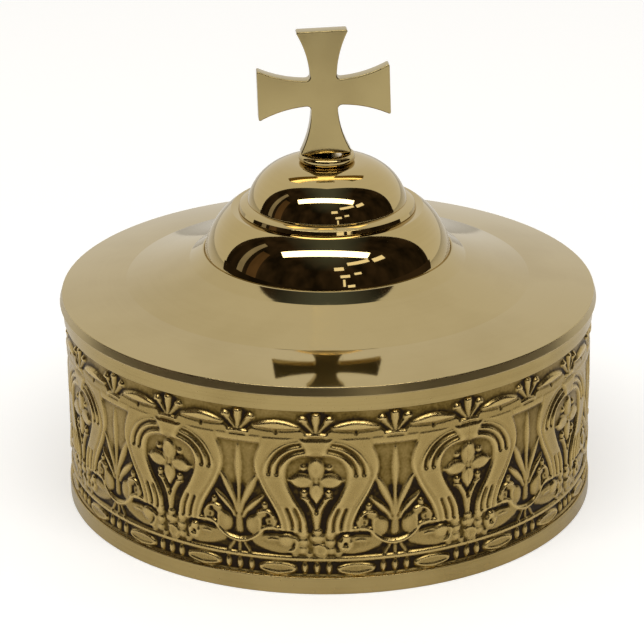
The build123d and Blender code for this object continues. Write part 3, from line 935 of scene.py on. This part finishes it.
        f.rolls([
            ([(-0.7, 14.0, 0.38), (0.6, 14.45, 0.5), (2.0, 14.0, 0.46), (2.6, 12.8, 0.4), (1.9, 11.5, 0.38)],
             0.46, 0.5),
            ([(-7.4, 12.2, 0.45), (-6.0, 12.9, 0.56), (-5.3, 14.2, 0.56), (-5.3, 15.6, 0.5),
              (-5.9, 16.3, 0.36)], 0.3, 0.6)])
        f.sink(f.oval(0.8, 12.7, 0.8, 0.8), 0.24)
        f.sink(f.oval(-6.3, 14.6, 0.5, 0.9), 0.3)
        turn, spread = np.arctan2(f.v - 14.5, f.x - 7.8), np.hypot(f.x - 7.8, f.v - 14.5)
        petal = 1.0 - np.abs(spread - 1.25) / 0.85
        f.raise_roll(petal, 0.4, 0.5)
        f.h = f.h + 0.12 * np.cos(5.0 * turn - 1.2) * ease(petal * 1.5)
        f.sink(f.oval(7.8, 14.5, 0.6, 0.6), 0.5)

    def bead_row(self, f: ReliefField) -> None:
        """Raise the lower fillet and the row of almonds and upright beads under it."""
        f.measure_from(Across.NEAREST)
        dark = ease((6.2 - f.x) / 2.4)
        f.h = np.where(f.v < 9.25, 0.12 - 0.34 * dark, f.h)
        f.h = np.maximum(f.h, (self.face - 0.12) * ease((11.0 - f.v) / 0.3) * ease((f.v - 9.2) / 0.35))
        f.ovals([(c, 7.4, 0.76, 1.75, 0.08, 0.8) for c in (0.0, 3.3)])
        f.measure_from(Across.LYRE)
        swell = np.maximum(1.0 - ((f.x - 10.68) / 5.1) ** 2, 0.0) ** 0.75
        inside = (swell > 0.02) & (f.v < 9.25)
        room = np.maximum(swell, 0.02)
        f.raise_roll(np.where(inside, 1.6 * (1.0 - np.abs(f.v - 7.15) / (1.8 * room)), -1.0), 0.1, 0.58)
        for edge in (1.35, -1.35):
            lip = 1.0 - np.abs(f.v - 7.15 - edge * swell) / 0.42
            f.raise_roll(np.where(inside, lip, -1.0), 0.4, 0.5)
        f.sink(np.where(inside, ease(1.0 - np.abs(f.v - 7.15) / (0.95 * room)), -1.0), 0.16)
        f.h = np.maximum(f.h, 0.6 * ease((5.55 - f.v) / 0.35))

    def relief(self) -> tuple[Array, Array, Array, Array]:
        """Work out one repeat, its rows from the foot up and its columns left to right.

        Returns:
            The places along the strip, the heights, the relief over them, and the mean of the
            relief's neighbourhood.
        """
        u = np.linspace(-self.half, self.half, self.columns + 1)
        v = np.linspace(self.bottom, self.top, self.rows + 1)
        f = ReliefField(*np.meshgrid(u, v), self.half)
        self.top_border(f)
        f.h = np.where(f.v < 43.3, self.field, f.h)
        self.sprig(f)
        self.lyre(f)
        self.flower(f)
        self.lower_fruit(f)
        self.bead_row(f)
        h = softened(np.clip(f.h, self.deep, self.full_height), 1)
        return u, v, h, softened(h, 5)

    def wear_and_shade(self, h: Array, broad: Array) -> dict[str, Array]:
        """Return where patina and painted shade darken the relief and where hands have rubbed it.

        Hollow grows with depth below the face and below the mean of the neighbourhood, so it is
        patina and painted shade in the recesses; crest grows with height above that mean.

        Args:
            h: the relief.
            broad: its neighbourhood mean.

        Returns:
            Both values by name, from 0 to 1.
        """
        hollow = 0.8 * np.clip((0.52 - h) / 0.75, 0.0, 1.0) + 0.6 * np.clip((broad - h) / 0.4, 0.0, 1.0)
        # hollow: patina and painted shade, darker the deeper and the lower than the neighbourhood
        crest = np.clip((h - broad) / 0.25, 0.0, 1.0) * np.clip((h - 0.45) / 0.3, 0.0, 1.0)
        return {"hollow": np.clip(hollow, 0.0, 1.0), "crest": crest}

    def panel(self, number: int, u: Array, v: Array, h: Array, worn: dict[str, Array]) -> Shell:
        """Return one repeat as a closed slab bent round the box.

        A point of the face is at radius ground + h and bearing phi, at (r sin phi, -r cos phi, v).
        The slab's back is a plain cylinder.

        Args:
            number: which repeat, counted to the right from the nearest lyre.
            u: places along the strip.
            v: heights.
            h: the relief.
            worn: values for the finish: patina and painted shade in the hollows, rubbed crests.

        Returns:
            The slab.
        """
        pitch = 2 * math.pi / self.repeats
        phi = math.radians(self.bearing) + number * pitch + u / self.half * pitch / 2
        if number == self.seam_panel:
            seam = 1.0 - np.abs(u[None] - 0.25 * np.sin(v[:, None] * 0.31)) / 0.3
            h = np.maximum(h - 0.3 * ease(seam), self.deep)
        r = self.ground_radius + h
        face = np.stack([r * np.sin(phi), -r * np.cos(phi), np.repeat(v[:, None], len(u), 1)], -1)
        rear = np.stack([self.back_radius * np.sin(phi), -self.back_radius * np.cos(phi)], -1)
        back = np.stack([np.column_stack([rear, np.full(len(u), z)]) for z in (v[0], v[-1])])
        count, cols = face.shape[0] * face.shape[1], len(u)
        j = np.arange(cols - 1)
        top, low, low_back, top_back = count - cols + j, j, count + j, count + cols + j
        walls = [
            np.stack([top, top + 1, top_back + 1, top_back], -1),
            np.stack([low + 1, low, low_back, low_back + 1], -1),
            np.stack([low_back + 1, low_back, top_back, top_back + 1], -1)]
        column = np.arange(len(v)) * cols
        left = np.concatenate([column, [count + cols, count]])[None]
        right = np.concatenate([column + cols - 1, [count + 2 * cols - 1, count + cols - 1]])[None, ::-1]
        points = np.vstack([face.reshape(-1, 3), back.reshape(-1, 3)])
        # the hidden back gets one middling value of patina, painted shade and wear
        plain = np.full(2 * cols, self.back_wear_and_shade)
        values = {name: np.concatenate([value.ravel(), plain]) for name, value in worn.items()}
        return Shell(points, [grid_quads(len(v), cols)], walls + [left, right], values)

    def build(self, effects: BrassEffects) -> None:
        """Make and dress the eleven panels.

        Args:
            effects: the shared node groups.
        """
        brass = STRUCK.material(effects)
        u, v, h, broad = self.relief()
        # patina and painted shade in the hollows, rubbed metal on the crests
        worn = self.wear_and_shade(h, broad)
        for number in range(self.repeats):
            name = f"struck_panel_{number + 1:02d}"
            place(self.panel(number, u, v, h, worn), name, brass, Body.BOX, Slot.FRIEZE, ["frieze_band"])


# The lid


@dataclass(frozen=True)
class LidPlate:
    """The sloping plate and the ring under it that finds the mouth of the box."""

    radius: float = 76.0
    seat: float = 57.9
    edge_top: float = 60.4
    crown_radius: float = 35.2
    crown: float = 71.0
    crown_lip: float = 0.7
    dome_foot: float = 34.84
    thickness: float = 1.2
    hole: float = 1.4
    ring_outer: float = 71.85
    ring_inner: float = 70.85
    ring_bottom: float = 52.0
    draw: float = 0.75
    brim_width: float = 19.0
    brim_rise: float = 2.95
    brim_bulge: float = 0.2
    fold_round: float = 2.0
    bell_lean: float = 15.3
    flare_width: float = 3.8
    flare_rise: float = 2.65
    flare_lean: float = 33.3
    flare_round: float = 2.0
    lip_room: float = 0.5
    bend_room: float = 1.2
    flare_room: float = 0.6
    edge: float = 0.3
    bevel: float = 0.3

    def top(self) -> Array:
        """Return the top of the plate from the edge in: a swelling brim, a bell and a flare.

        The brim is an arc whose sagitta is its bulge. The bell leaves the fold at its own lean as
        a hollow arc, and the flare leaves the bell at its own lean and bends up to the crown. Arc
        points in the room beside a rounded bend are left out.

        Returns:
            Rows of radius, height and corner radius, the first at the edge.
        """
        rim = np.array([self.radius, self.edge_top])
        fold = rim + (-self.brim_width, self.brim_rise)
        crown = np.array([self.crown_radius, self.crown + self.crown_lip])
        foot = crown + (self.flare_width, -self.flare_rise)
        chord = fold - rim
        lift = 2.0 * math.atan(2.0 * self.brim_bulge / np.linalg.norm(chord))
        rising = (chord[0] * math.cos(lift) + chord[1] * math.sin(lift),
                  chord[1] * math.cos(lift) - chord[0] * math.sin(lift))
        brim = bend(rim, fold, rising, 24)
        lip = self.radius - self.draw
        level = np.interp(lip, brim[::-1, 0], brim[::-1, 1])
        lean = math.radians(self.bell_lean)
        bell = bend(fold, foot, (-math.cos(lean), math.sin(lean)), 28)
        brim = brim[(brim[:, 0] < lip - self.lip_room) & (brim[:, 0] > fold[0] + self.bend_room)]
        bell = bell[(bell[:, 0] > foot[0] + self.bend_room) & (bell[:, 0] < fold[0] - self.bend_room)]
        lean = math.radians(self.flare_lean)
        flare = bend(foot, crown, (-math.cos(lean), math.sin(lean)), 14)
        flare = flare[flare[:, 0] < foot[0] - self.flare_room]
        line = np.vstack([[(lip, level)], brim, [fold], bell, [foot], flare])
        corner = np.zeros(len(line))
        bends = [0, len(brim) + 1, len(brim) + len(bell) + 2]
        corner[bends] = self.edge, self.fold_round, self.flare_round
        return np.column_stack([line, corner])

    def plate(self) -> Shell:
        """Return the plate: its top, the same line a thickness lower, and the edge."""
        top = self.top()
        under = top[1:][::-1] - (0.0, self.thickness, 0.0)
        under = under[under[:, 0] < self.ring_inner - 0.3]
        flange = np.interp(self.ring_inner, top[::-1, 0], top[::-1, 1]) - self.thickness
        section = np.vstack([
            [(self.ring_inner, self.seat, 0.0), (self.radius, self.seat, self.edge)], top,
            [(self.dome_foot, self.crown + self.crown_lip, 0.0), (self.dome_foot, self.crown, 0.0)],
            [(self.hole, self.crown, 0.0), (self.hole, self.crown - self.thickness, 0.0)], under,
            [(self.ring_inner, flange, 0.0)]])
        return turned(rounded_loop(section, 10), 320)

    def ring(self) -> Shell:
        """Return the locating ring with its lead-in."""
        return turned(rounded_loop([
            (self.ring_inner, self.ring_bottom, self.bevel), (self.ring_outer, self.ring_bottom, self.bevel),
            (self.ring_outer, self.seat, 0.0), (self.ring_inner, self.seat, 0.0)]))

    def build(self, effects: BrassEffects) -> None:
        """Make and dress the two pieces.

        Args:
            effects: the shared node groups.
        """
        brass, gilt = POLISHED_PLATE.material(effects), GILT.material(effects)
        place(self.plate(), "polished_plate", brass, Body.LID, Slot.LID, ["lid_plate"])
        place(self.ring(), "drop_ring", gilt, Body.LID, Slot.INSIDE, ["locating_ring"])


@dataclass(frozen=True)
class DomeStack:
    """Two spun domes with a turned step between them and a collar on top."""

    lower_radius: float = 34.8
    lower_foot: float = 71.0
    step_radius: float = 25.0
    step_bottom: float = 83.75
    step_top: float = 86.0
    step_inner: float = 17.7
    step_draw: float = 0.5
    step_fall: float = 1.0
    upper_radius: float = 22.4
    top: float = 97.35
    collar_radius: float = 7.9
    collar_top: float = 99.8
    collar_round: float = 1.0
    ledge: float = 2.0
    lower_lean: float = 7.8
    upper_lean: float = 12.0
    ledge_round: float = 0.25
    wall: float = 1.0
    hole: float = 1.4
    edge: float = 0.3

    def lower_arc(self, inset: float, steps: int) -> Array:
        """Return the lower dome's arc from its leaning foot to its ledge, or one further in.

        Args:
            inset: how far inside the outer face it lies.
            steps: spans along it.

        Returns:
            Rows of radius and height from the foot up.
        """
        lean = math.radians(self.lower_lean)
        shoulder = (self.step_radius + self.ledge - inset / 2, self.step_bottom - inset)
        foot = (self.lower_radius - inset, self.lower_foot)
        return bend(foot, shoulder, (-math.sin(lean), math.cos(lean)), steps)

    def upper_arc(self, inset: float, steps: int) -> Array:
        """Return the upper dome's arc: the top part of an ellipse that leans at its foot.

        Args:
            inset: how far inside the outer face it lies.
            steps: spans along it.

        Returns:
            Rows of radius and height from the foot up.
        """
        lean = math.radians(self.upper_lean)
        across = (self.upper_radius - inset - self.collar_radius) / math.cos(lean)
        tall = (self.top - inset - self.step_top) / (1.0 - math.sin(lean))
        t = np.linspace(lean, math.pi / 2, steps + 1)
        return np.column_stack([
            self.collar_radius + across * np.cos(t), self.top - inset - tall * (1.0 - np.sin(t))])

    def shell(self, outside: Array, inside: Array, hole: float, lip: float) -> Shell:
        """Return a spun shell between two arcs, with a flat top, a softened lip and a hole.

        Args:
            outside: the outer arc from the foot up.
            inside: the inner arc from the foot up.
            hole: radius of the hole in the flat top.
            lip: radius of the round between the arc and the flat.

        Returns:
            The closed shell.
        """
        rows = [outside[:-1], [outside[-1]], [(hole, outside[-1, 1]), (hole, inside[-1, 1])], inside[::-1]]
        radii = [np.zeros(len(outside) - 1), [lip], [0.0, 0.0], np.zeros(len(inside))]
        return turned(rounded_loop(np.column_stack([np.vstack(rows), np.concatenate(radii)]), 6, 0.02), 320)

    def step(self) -> Shell:
        """Return the turned ring between the domes."""
        return turned(rounded_loop([
            (self.step_inner, self.step_bottom, 0.1), (self.step_radius, self.step_bottom, 0.15),
            (self.step_radius - self.step_draw, self.step_top - self.step_fall, self.edge),
            (self.upper_radius + 0.1, self.step_top, 0.0), (self.step_inner, self.step_top, 0.1)]), 320)

    def collar(self) -> Shell:
        """Return the round collar under the cross."""
        return turned(rounded_loop([
            (self.hole, self.top, 0.0), (self.collar_radius, self.top, self.collar_round),
            (self.collar_radius, self.collar_top, self.collar_round),
            (self.hole, self.collar_top, 0.0)], 10), 192)

    def build(self, effects: BrassEffects) -> None:
        """Make and dress the four pieces.

        Args:
            effects: the shared node groups.
        """
        brass = MIRROR.material(effects)
        outside, inside = self.lower_arc(0.0, 40), self.lower_arc(self.wall, 24)
        lower = self.shell(outside, inside, self.step_inner, self.ledge_round)
        upper = self.shell(self.upper_arc(0.0, 72), self.upper_arc(self.wall, 36), self.hole, 0.0)
        place(lower, "mirror_lower_dome", brass, Body.LID, Slot.MIRROR, ["lower_dome"])
        place(self.step(), "mirror_step", brass, Body.LID, Slot.MIRROR, ["step_ring"])
        place(upper, "mirror_upper_dome", brass, Body.LID, Slot.MIRROR, ["upper_dome"])
        place(self.collar(), "mirror_collar", brass, Body.LID, Slot.MIRROR, ["cross_collar"])


@dataclass(frozen=True)
class CastCross:
    """Flat cross with four flared arms and softened edges."""

    width: float = 36.8
    height: float = 35.3
    thickness: float = 4.2
    bottom: float = 99.8
    waist: float = 7.3
    end: float = 14.7
    hollow: float = 0.9
    corner: float = 1.2
    tip: float = 0.45
    bevel: float = 0.3
    bevel_steps: int = 6
    lean_back: float = 1.0
    lean_left: float = 1.4
    shift: float = -0.3

    def side(self, start: Array, stop: Array, bow: Array) -> Array:
        """Return the hollow side of an arm: a parabola bowed inwards by the hollow.

        Args:
            start: first end.
            stop: last end.
            bow: unit direction of the hollow.

        Returns:
            Rows of x, y and corner radius between the ends, without them.
        """
        t = np.linspace(0.12, 0.92, 22)[:, None]
        line = start + (stop - start) * t + bow * self.hollow * 4.0 * t * (1.0 - t)
        return np.column_stack([line, np.zeros(len(t))])

    def outline(self) -> Array:
        """Return the cross's outline about its middle, one quarter turned into four."""
        crossing = np.array([self.waist / 2, self.waist / 2])
        side_tip = np.array([self.width / 2, self.end / 2])
        top_tip = np.array([self.end / 2, self.height / 2])
        out = side_tip - crossing
        rise = top_tip - crossing
        lower = self.side(crossing, side_tip, np.array([out[1], -out[0]]) / np.linalg.norm(out))
        upper = self.side(crossing, top_tip, np.array([-rise[1], rise[0]]) / np.linalg.norm(rise))
        quarter = np.vstack([
            [(*side_tip, self.tip)], lower[::-1], [(*crossing, self.corner)], upper, [(*top_tip, self.tip)]])
        second = quarter[::-1] * (-1, 1, 1)
        third, fourth = quarter * (-1, -1, 1), quarter[::-1] * (1, -1, 1)
        return rounded_loop(np.vstack([quarter, second, third, fourth]), 8)

    def shape(self) -> Shell:
        """Return the cross: its outline carried through a rounded edge, and two flat faces.

        The section goes round a quarter circle at each face, and every point of the outline
        moves in along the mitre of its two sides. The whole stands a degree or so out of true on
        its stud, as in the photograph: turned about its foot to the left and then back.

        Returns:
            The closed shell.
        """
        loop = self.outline()
        ahead = np.roll(loop, -1, axis=0) - loop
        ahead = ahead / np.linalg.norm(ahead, axis=1, keepdims=True)
        normal = np.column_stack([ahead[:, 1], -ahead[:, 0]])
        before = np.roll(normal, 1, axis=0)
        mitre = (normal + before) / (1.0 + (normal * before).sum(1, keepdims=True))
        t = np.linspace(0.0, math.pi / 2, self.bevel_steps + 1)
        inset = self.bevel * (1.0 - np.sin(t))
        depth = self.thickness / 2 - self.bevel * (1.0 - np.cos(t))
        inset, depth = np.concatenate([inset, inset[::-1]]), np.concatenate([-depth, depth[::-1]])
        flat = loop[None] - mitre[None] * inset[:, None, None]
        y = np.broadcast_to(depth[:, None], flat.shape[:2])
        left, back = math.radians(self.lean_left), math.radians(self.lean_back)
        across, rise = flat[..., 0], flat[..., 1] + self.height / 2
        x = across * math.cos(left) - rise * math.sin(left) + self.shift
        rise = rise * math.cos(left) + across * math.sin(left)
        z = rise * math.cos(back) - y * math.sin(back) + self.bottom
        y = y * math.cos(back) + rise * math.sin(back)
        points = np.stack([x, y, z], -1).reshape(-1, 3)
        rows, cols = flat.shape[:2]
        front = np.arange(cols)[None]
        rear = ((rows - 1) * cols + np.arange(cols))[None, ::-1]
        return Shell(points, [grid_quads(rows, cols, False, True)[:, ::-1]], [front, rear])

    def build(self, effects: BrassEffects) -> None:
        """Make and dress the cross.

        Args:
            effects: the shared node groups.
        """
        place(self.shape(), "cast_cross", CAST_CROSS.material(effects), Body.LID, Slot.CROSS, ["cross"])


@dataclass(frozen=True)
class TieStud:
    """The threaded stud that draws the stack together, with its washer and nut."""

    radius: float = 1.25
    bottom: float = 66.2
    top: float = 106.8
    pitch: float = 0.45
    thread: float = 0.2
    bevel: float = 0.3
    nut_half: float = 2.5
    nut_under: float = 67.0
    nut_top: float = 69.0
    nut_hole: float = 1.3
    cone_slope: float = 0.577
    washer_radius: float = 4.0
    washer_top: float = 69.8
    washer_hole: float = 1.4

    def stud(self) -> Shell:
        """Return the stud: radius falls by the thread as a triangle wave of height less turn."""
        cols, steps = 24, 8
        z = np.arange(self.bottom, self.top, self.pitch / steps)
        z = np.append(z, self.top)[:, None]
        turn = (np.arange(cols) * (2 * math.pi / cols))[None]
        phase = (z / self.pitch - turn / (2 * math.pi)) % 1.0
        ends = np.minimum(z - self.bottom, self.top - z)
        r = self.radius - self.thread * np.abs(2.0 * phase - 1.0)
        r = np.minimum(r, self.radius - self.bevel + ends)
        points = np.stack([r * np.cos(turn), r * np.sin(turn), np.repeat(z, cols, 1)], -1).reshape(-1, 3)
        under = np.arange(cols)[None, ::-1]
        over = (len(points) - cols + np.arange(cols))[None]
        return Shell(points, [grid_quads(len(z), cols, False, True)], [under, over])

    def nut(self) -> Shell:
        """Return the nut: a hexagon whose lower corners are cut by a cone."""
        cols = 72
        turn = np.arange(cols) * (2 * math.pi / cols)
        hexagon = self.nut_half / np.cos((turn % (math.pi / 3)) - math.pi / 6)
        cut = self.nut_under + (hexagon - self.nut_half) * self.cone_slope
        rows = [
            (self.nut_hole, self.nut_under), (self.nut_half, self.nut_under), (hexagon, cut),
            (hexagon, self.nut_top), (self.nut_hole, self.nut_top)]
        points = np.concatenate([
            np.column_stack([r * np.cos(turn), r * np.sin(turn), z + 0.0 * turn]) for r, z in rows])
        return Shell(points, [], [grid_quads(len(rows), cols, True, True)])

    def washer(self) -> Shell:
        """Return the plain washer with softened rims."""
        return turned(rounded_loop([
            (self.washer_hole, self.nut_top, 0.08), (self.washer_radius, self.nut_top, 0.15),
            (self.washer_radius, self.washer_top, 0.15), (self.washer_hole, self.washer_top, 0.08)]), 96)

    def build(self, effects: BrassEffects) -> None:
        """Make and dress the three fixings.

        Args:
            effects: the shared node groups.
        """
        brass = FIXING.material(effects)
        place(self.stud(), "threaded_stud", brass, Body.LID, Slot.FIXING, ["tie_stud"])
        place(self.washer(), "plain_washer", brass, Body.LID, Slot.FIXING, ["stud_washer"])
        place(self.nut(), "hexagon_nut", brass, Body.LID, Slot.FIXING, ["stud_nut"])


# The studio


@dataclass(frozen=True)
class Studio:
    """Pale floor, white surround, a dark room in front and a strip of light overhead."""

    floor_half: float = 4.0
    floor_colour: Colour = (0.86, 0.855, 0.845)
    ambient: float = 0.6
    surround: float = 0.86
    room_reach: float = 1.7
    room_middle: float = 85.0
    room_sides: tuple[float, float] = (-112.0, 101.0)
    table_edge: float = 0.55
    white: Colour = (1.0, 1.0, 1.0)
    tint: Colour = (1.0, 0.985, 0.955)
    direct_glow: float = 0.3
    mirrored_glow: float = 0.01
    strip_power: float = 9.0
    strip_size: tuple[float, float] = (1.7, 0.24)
    strip_place: tuple[float, float, float] = (-0.08, -0.60, 1.2)
    strip_aim: float = 0.08

    def floor(self) -> None:
        """Lay the floor, whose glow only a direct or mirrored look sees, so its shadow stays."""
        half = self.floor_half / MM
        points = np.array([(-half, -half, 0), (half, -half, 0), (half, half, 0), (-half, half, 0)], float)
        sheet = linked("studio_floor", Shell(points, [], [np.arange(4)[None]]).mesh("studio_floor"))
        paper, pen, shader = new_material("pale_paper")
        shader.inputs["Roughness"].default_value = 0.9
        shader.inputs["Specular IOR Level"].default_value = 0.1
        fibre = pen.noise(pen.node("ShaderNodeTexCoord").outputs["Object"], 900.0, 3.0)
        darker = tuple(0.985 * c for c in self.floor_colour)
        pen.feed(shader.inputs["Base Color"], pen.mix(fibre, rgba(self.floor_colour), rgba(darker)))
        ray = pen.node("ShaderNodeLightPath").outputs
        direct = pen.math("MULTIPLY", ray["Is Camera Ray"], self.direct_glow)
        seen = pen.math("MAXIMUM", ray["Is Glossy Ray"], ray["Is Transmission Ray"])
        mirrored = pen.math("MULTIPLY", seen, self.mirrored_glow)
        pen.feed(shader.inputs["Emission Strength"], pen.math("ADD", direct, mirrored))
        shader.inputs["Emission Color"].default_value = rgba(self.white)
        sheet.data.materials.append(paper)

    def world(self) -> None:
        """Surround the stage with white: plain light for faces, full white for a direct look."""
        world = bpy.data.worlds.new("white_surround")
        world.use_nodes = True
        pen = NodePen(world.node_tree)
        back = world.node_tree.nodes["Background"]
        ray = pen.node("ShaderNodeLightPath").outputs
        seen = pen.math("MAXIMUM", ray["Is Glossy Ray"], ray["Is Transmission Ray"])
        glow = pen.math("ADD", self.ambient, pen.math("MULTIPLY", seen, self.surround - self.ambient))
        strength = pen.math("MAXIMUM", glow, ray["Is Camera Ray"])
        colour = pen.mix(ray["Is Camera Ray"], rgba(self.tint), rgba(self.white))
        pen.feed(back.inputs["Color"], colour)
        pen.feed(back.inputs["Strength"], strength)
        bpy.context.scene.world = world

    def patch(self, name: str, bearings: tuple[float, float], heights: tuple[float, float], reach: float,
              material: bpy.types.Material) -> None:
        """Hang a sheet on a sphere round the object that only mirrors see.

        Args:
            name: name of the sheet.
            bearings: left and right edge in degrees from the front.
            heights: lower and upper edge in degrees above the horizon.
            reach: radius of the sphere in metres.
            material: what it glows with.
        """
        rows, cols = 33, 65
        turn = np.radians(np.linspace(*bearings, cols))[None]
        lift = np.radians(np.linspace(*heights, rows))[:, None]
        r = reach / MM
        spots = np.stack([r * np.cos(lift) * np.sin(turn), -r * np.cos(lift) * np.cos(turn),
                          r * np.sin(lift) + self.room_middle + 0.0 * turn], -1)
        shell = Shell(spots.reshape(-1, 3), [grid_quads(rows, cols)[:, ::-1]])
        sheet = linked(name, shell.mesh(name))
        sheet.data.materials.append(material)
        sheet.visible_camera = False
        sheet.visible_diffuse = False
        sheet.visible_shadow = False
        sheet.visible_transmission = False

    def glow(self, name: str, low: Colour, high: Colour, strength: float,
             overhead: Colour | None = None) -> bpy.types.Material:
        """Return a glowing sheet whose colour drifts between two values.

        Args:
            name: name of the material.
            low: darker colour of the drift.
            high: lighter colour of the drift.
            strength: emission strength.
            overhead: colour that it grades to high up and near the middle, if any.

        Returns:
            The material.
        """
        made, pen, shader = new_material(name)
        made.node_tree.nodes.remove(shader)
        spot = pen.node("ShaderNodeTexCoord").outputs["Object"]
        tall = pen.node("ShaderNodeMapping", Vector=spot)
        tall.inputs["Scale"].default_value = (1.0, 1.0, 0.3)
        cloud = pen.noise(tall.outputs[0], 2.6, 2.0)
        colour = pen.mix(pen.spread(cloud, 0.35, 0.7, 0.0, 1.0), rgba(low), rgba(high))
        if overhead:
            xyz = pen.node("ShaderNodeSeparateXYZ", Vector=spot).outputs
            high_up = pen.spread(xyz["Z"], 0.95, 1.6, 0.0, 1.0)
            middle = pen.spread(pen.math("ABSOLUTE", xyz["X"]), 0.15, 0.75, 1.0, 0.0)
            colour = pen.mix(pen.math("MULTIPLY", high_up, middle), colour, rgba(overhead))
        lit = pen.node("ShaderNodeEmission", Color=colour, Strength=strength)
        pen.feed(made.node_tree.nodes["Material Output"].inputs["Surface"], lit.outputs[0])
        return made

    def room(self) -> None:
        """Hang the dark room that the domes mirror in front, with its far lamps."""
        walls = self.glow("dark_room", (0.012, 0.009, 0.006), (0.05, 0.033, 0.022), 1.0,
                          overhead=(0.10, 0.115, 0.115))
        lamp = self.glow("far_lamp", (1.0, 0.93, 0.8), (1.0, 0.95, 0.85), 1.6)
        pale = self.glow("pale_post", (0.30, 0.27, 0.24), (0.42, 0.38, 0.33), 1.0)
        brown = self.glow("brown_post", (0.09, 0.055, 0.03), (0.15, 0.09, 0.05), 1.0)
        nearer = self.room_reach - 0.05
        self.patch("dark_room", self.room_sides, (-4.0, 89.9), self.room_reach, walls)
        self.patch("dark_boards", self.room_sides, (-8.6, 1.0), self.table_edge, walls)
        self.patch("pale_post", (-96.0, -89.0), (-3.0, 48.0), nearer, pale)
        self.patch("brown_post", (-84.0, -73.0), (-3.0, 40.0), nearer, brown)
        lamps = (((2.0, 12.0), (31.0, 36.5)), ((17.0, 42.0), (38.0, 43.0)), ((46.0, 60.0), (35.0, 41.0)),
                 ((7.4, 16.5), (18.5, 23.0)), ((21.0, 28.0), (21.5, 25.0)), ((9.3, 11.4), (4.0, 15.5)),
                 ((13.4, 19.8), (0.0, 6.0)))
        for number, (bearings, heights) in enumerate(lamps):
            self.patch(f"far_lamp_{number + 1}", bearings, heights, nearer, lamp)

    def strip(self) -> None:
        """Hang the strip of light overhead, a little in front."""
        light = bpy.data.lights.new("overhead_strip", "AREA")
        light.shape = "RECTANGLE"
        light.size, light.size_y = self.strip_size
        light.energy = self.strip_power
        light.color = (1.0, 0.98, 0.94)
        lamp = linked("overhead_strip", light)
        lamp.location = self.strip_place
        lamp.rotation_mode = "QUATERNION"
        aim = Vector((0.0, 0.0, self.strip_aim)) - Vector(self.strip_place)
        lamp.rotation_quaternion = aim.to_track_quat("-Z", "Y")

    def build(self) -> None:
        """Set the stage."""
        self.floor()
        self.world()
        self.room()
        self.strip()
        bpy.context.scene.view_settings.view_transform = "Standard"


@dataclass(frozen=True)
class PhotoCamera:
    """The camera, with the photograph's viewing angle and framing."""

    lens: float = 168.9
    sensor: float = 36.0
    distance: float = 0.8657
    target_height: float = 0.038
    azimuth: float = -4.6
    elevation: float = 22.68
    roll: float = -0.00803
    target_right: float = 6.41 / 644
    target_down: float = 34.14 / 644

    def build(self) -> None:
        """Set the camera, aimed so that the target falls beside the middle of the picture."""
        data = bpy.data.cameras.new("photo_camera")
        data.lens = self.lens
        data.sensor_width = self.sensor
        data.clip_start, data.clip_end = 0.05, 50.0
        camera = linked("photo_camera", data)
        a, e = math.radians(self.azimuth), math.radians(self.elevation)
        back = Vector((math.sin(a) * math.cos(e), -math.cos(a) * math.cos(e), math.sin(e)))
        facing = (-back).to_track_quat("-Z", "Y").to_matrix().to_4x4()
        focal = self.lens / self.sensor
        aim = Matrix.Rotation(math.atan(self.target_right / focal), 4, "Y")
        aim = aim @ Matrix.Rotation(math.atan(self.target_down / focal), 4, "X")
        spot = Matrix.Translation(Vector((0.0, 0.0, self.target_height)) + back * self.distance)
        camera.matrix_world = spot @ facing @ Matrix.Rotation(self.roll, 4, "Z") @ aim
        bpy.context.scene.camera = camera


def main() -> None:
    """Build the pieces in order, then the stage and the camera."""
    logging.basicConfig(level=logging.INFO, format="%(message)s")
    effects = BrassEffects()
    for assembly in (TurnedBox(), Frieze(), LidPlate(), DomeStack(), CastCross(), TieStud()):
        assembly.build(effects)
    Studio().build()
    PhotoCamera().build()


if __name__ == "__main__":
    main()
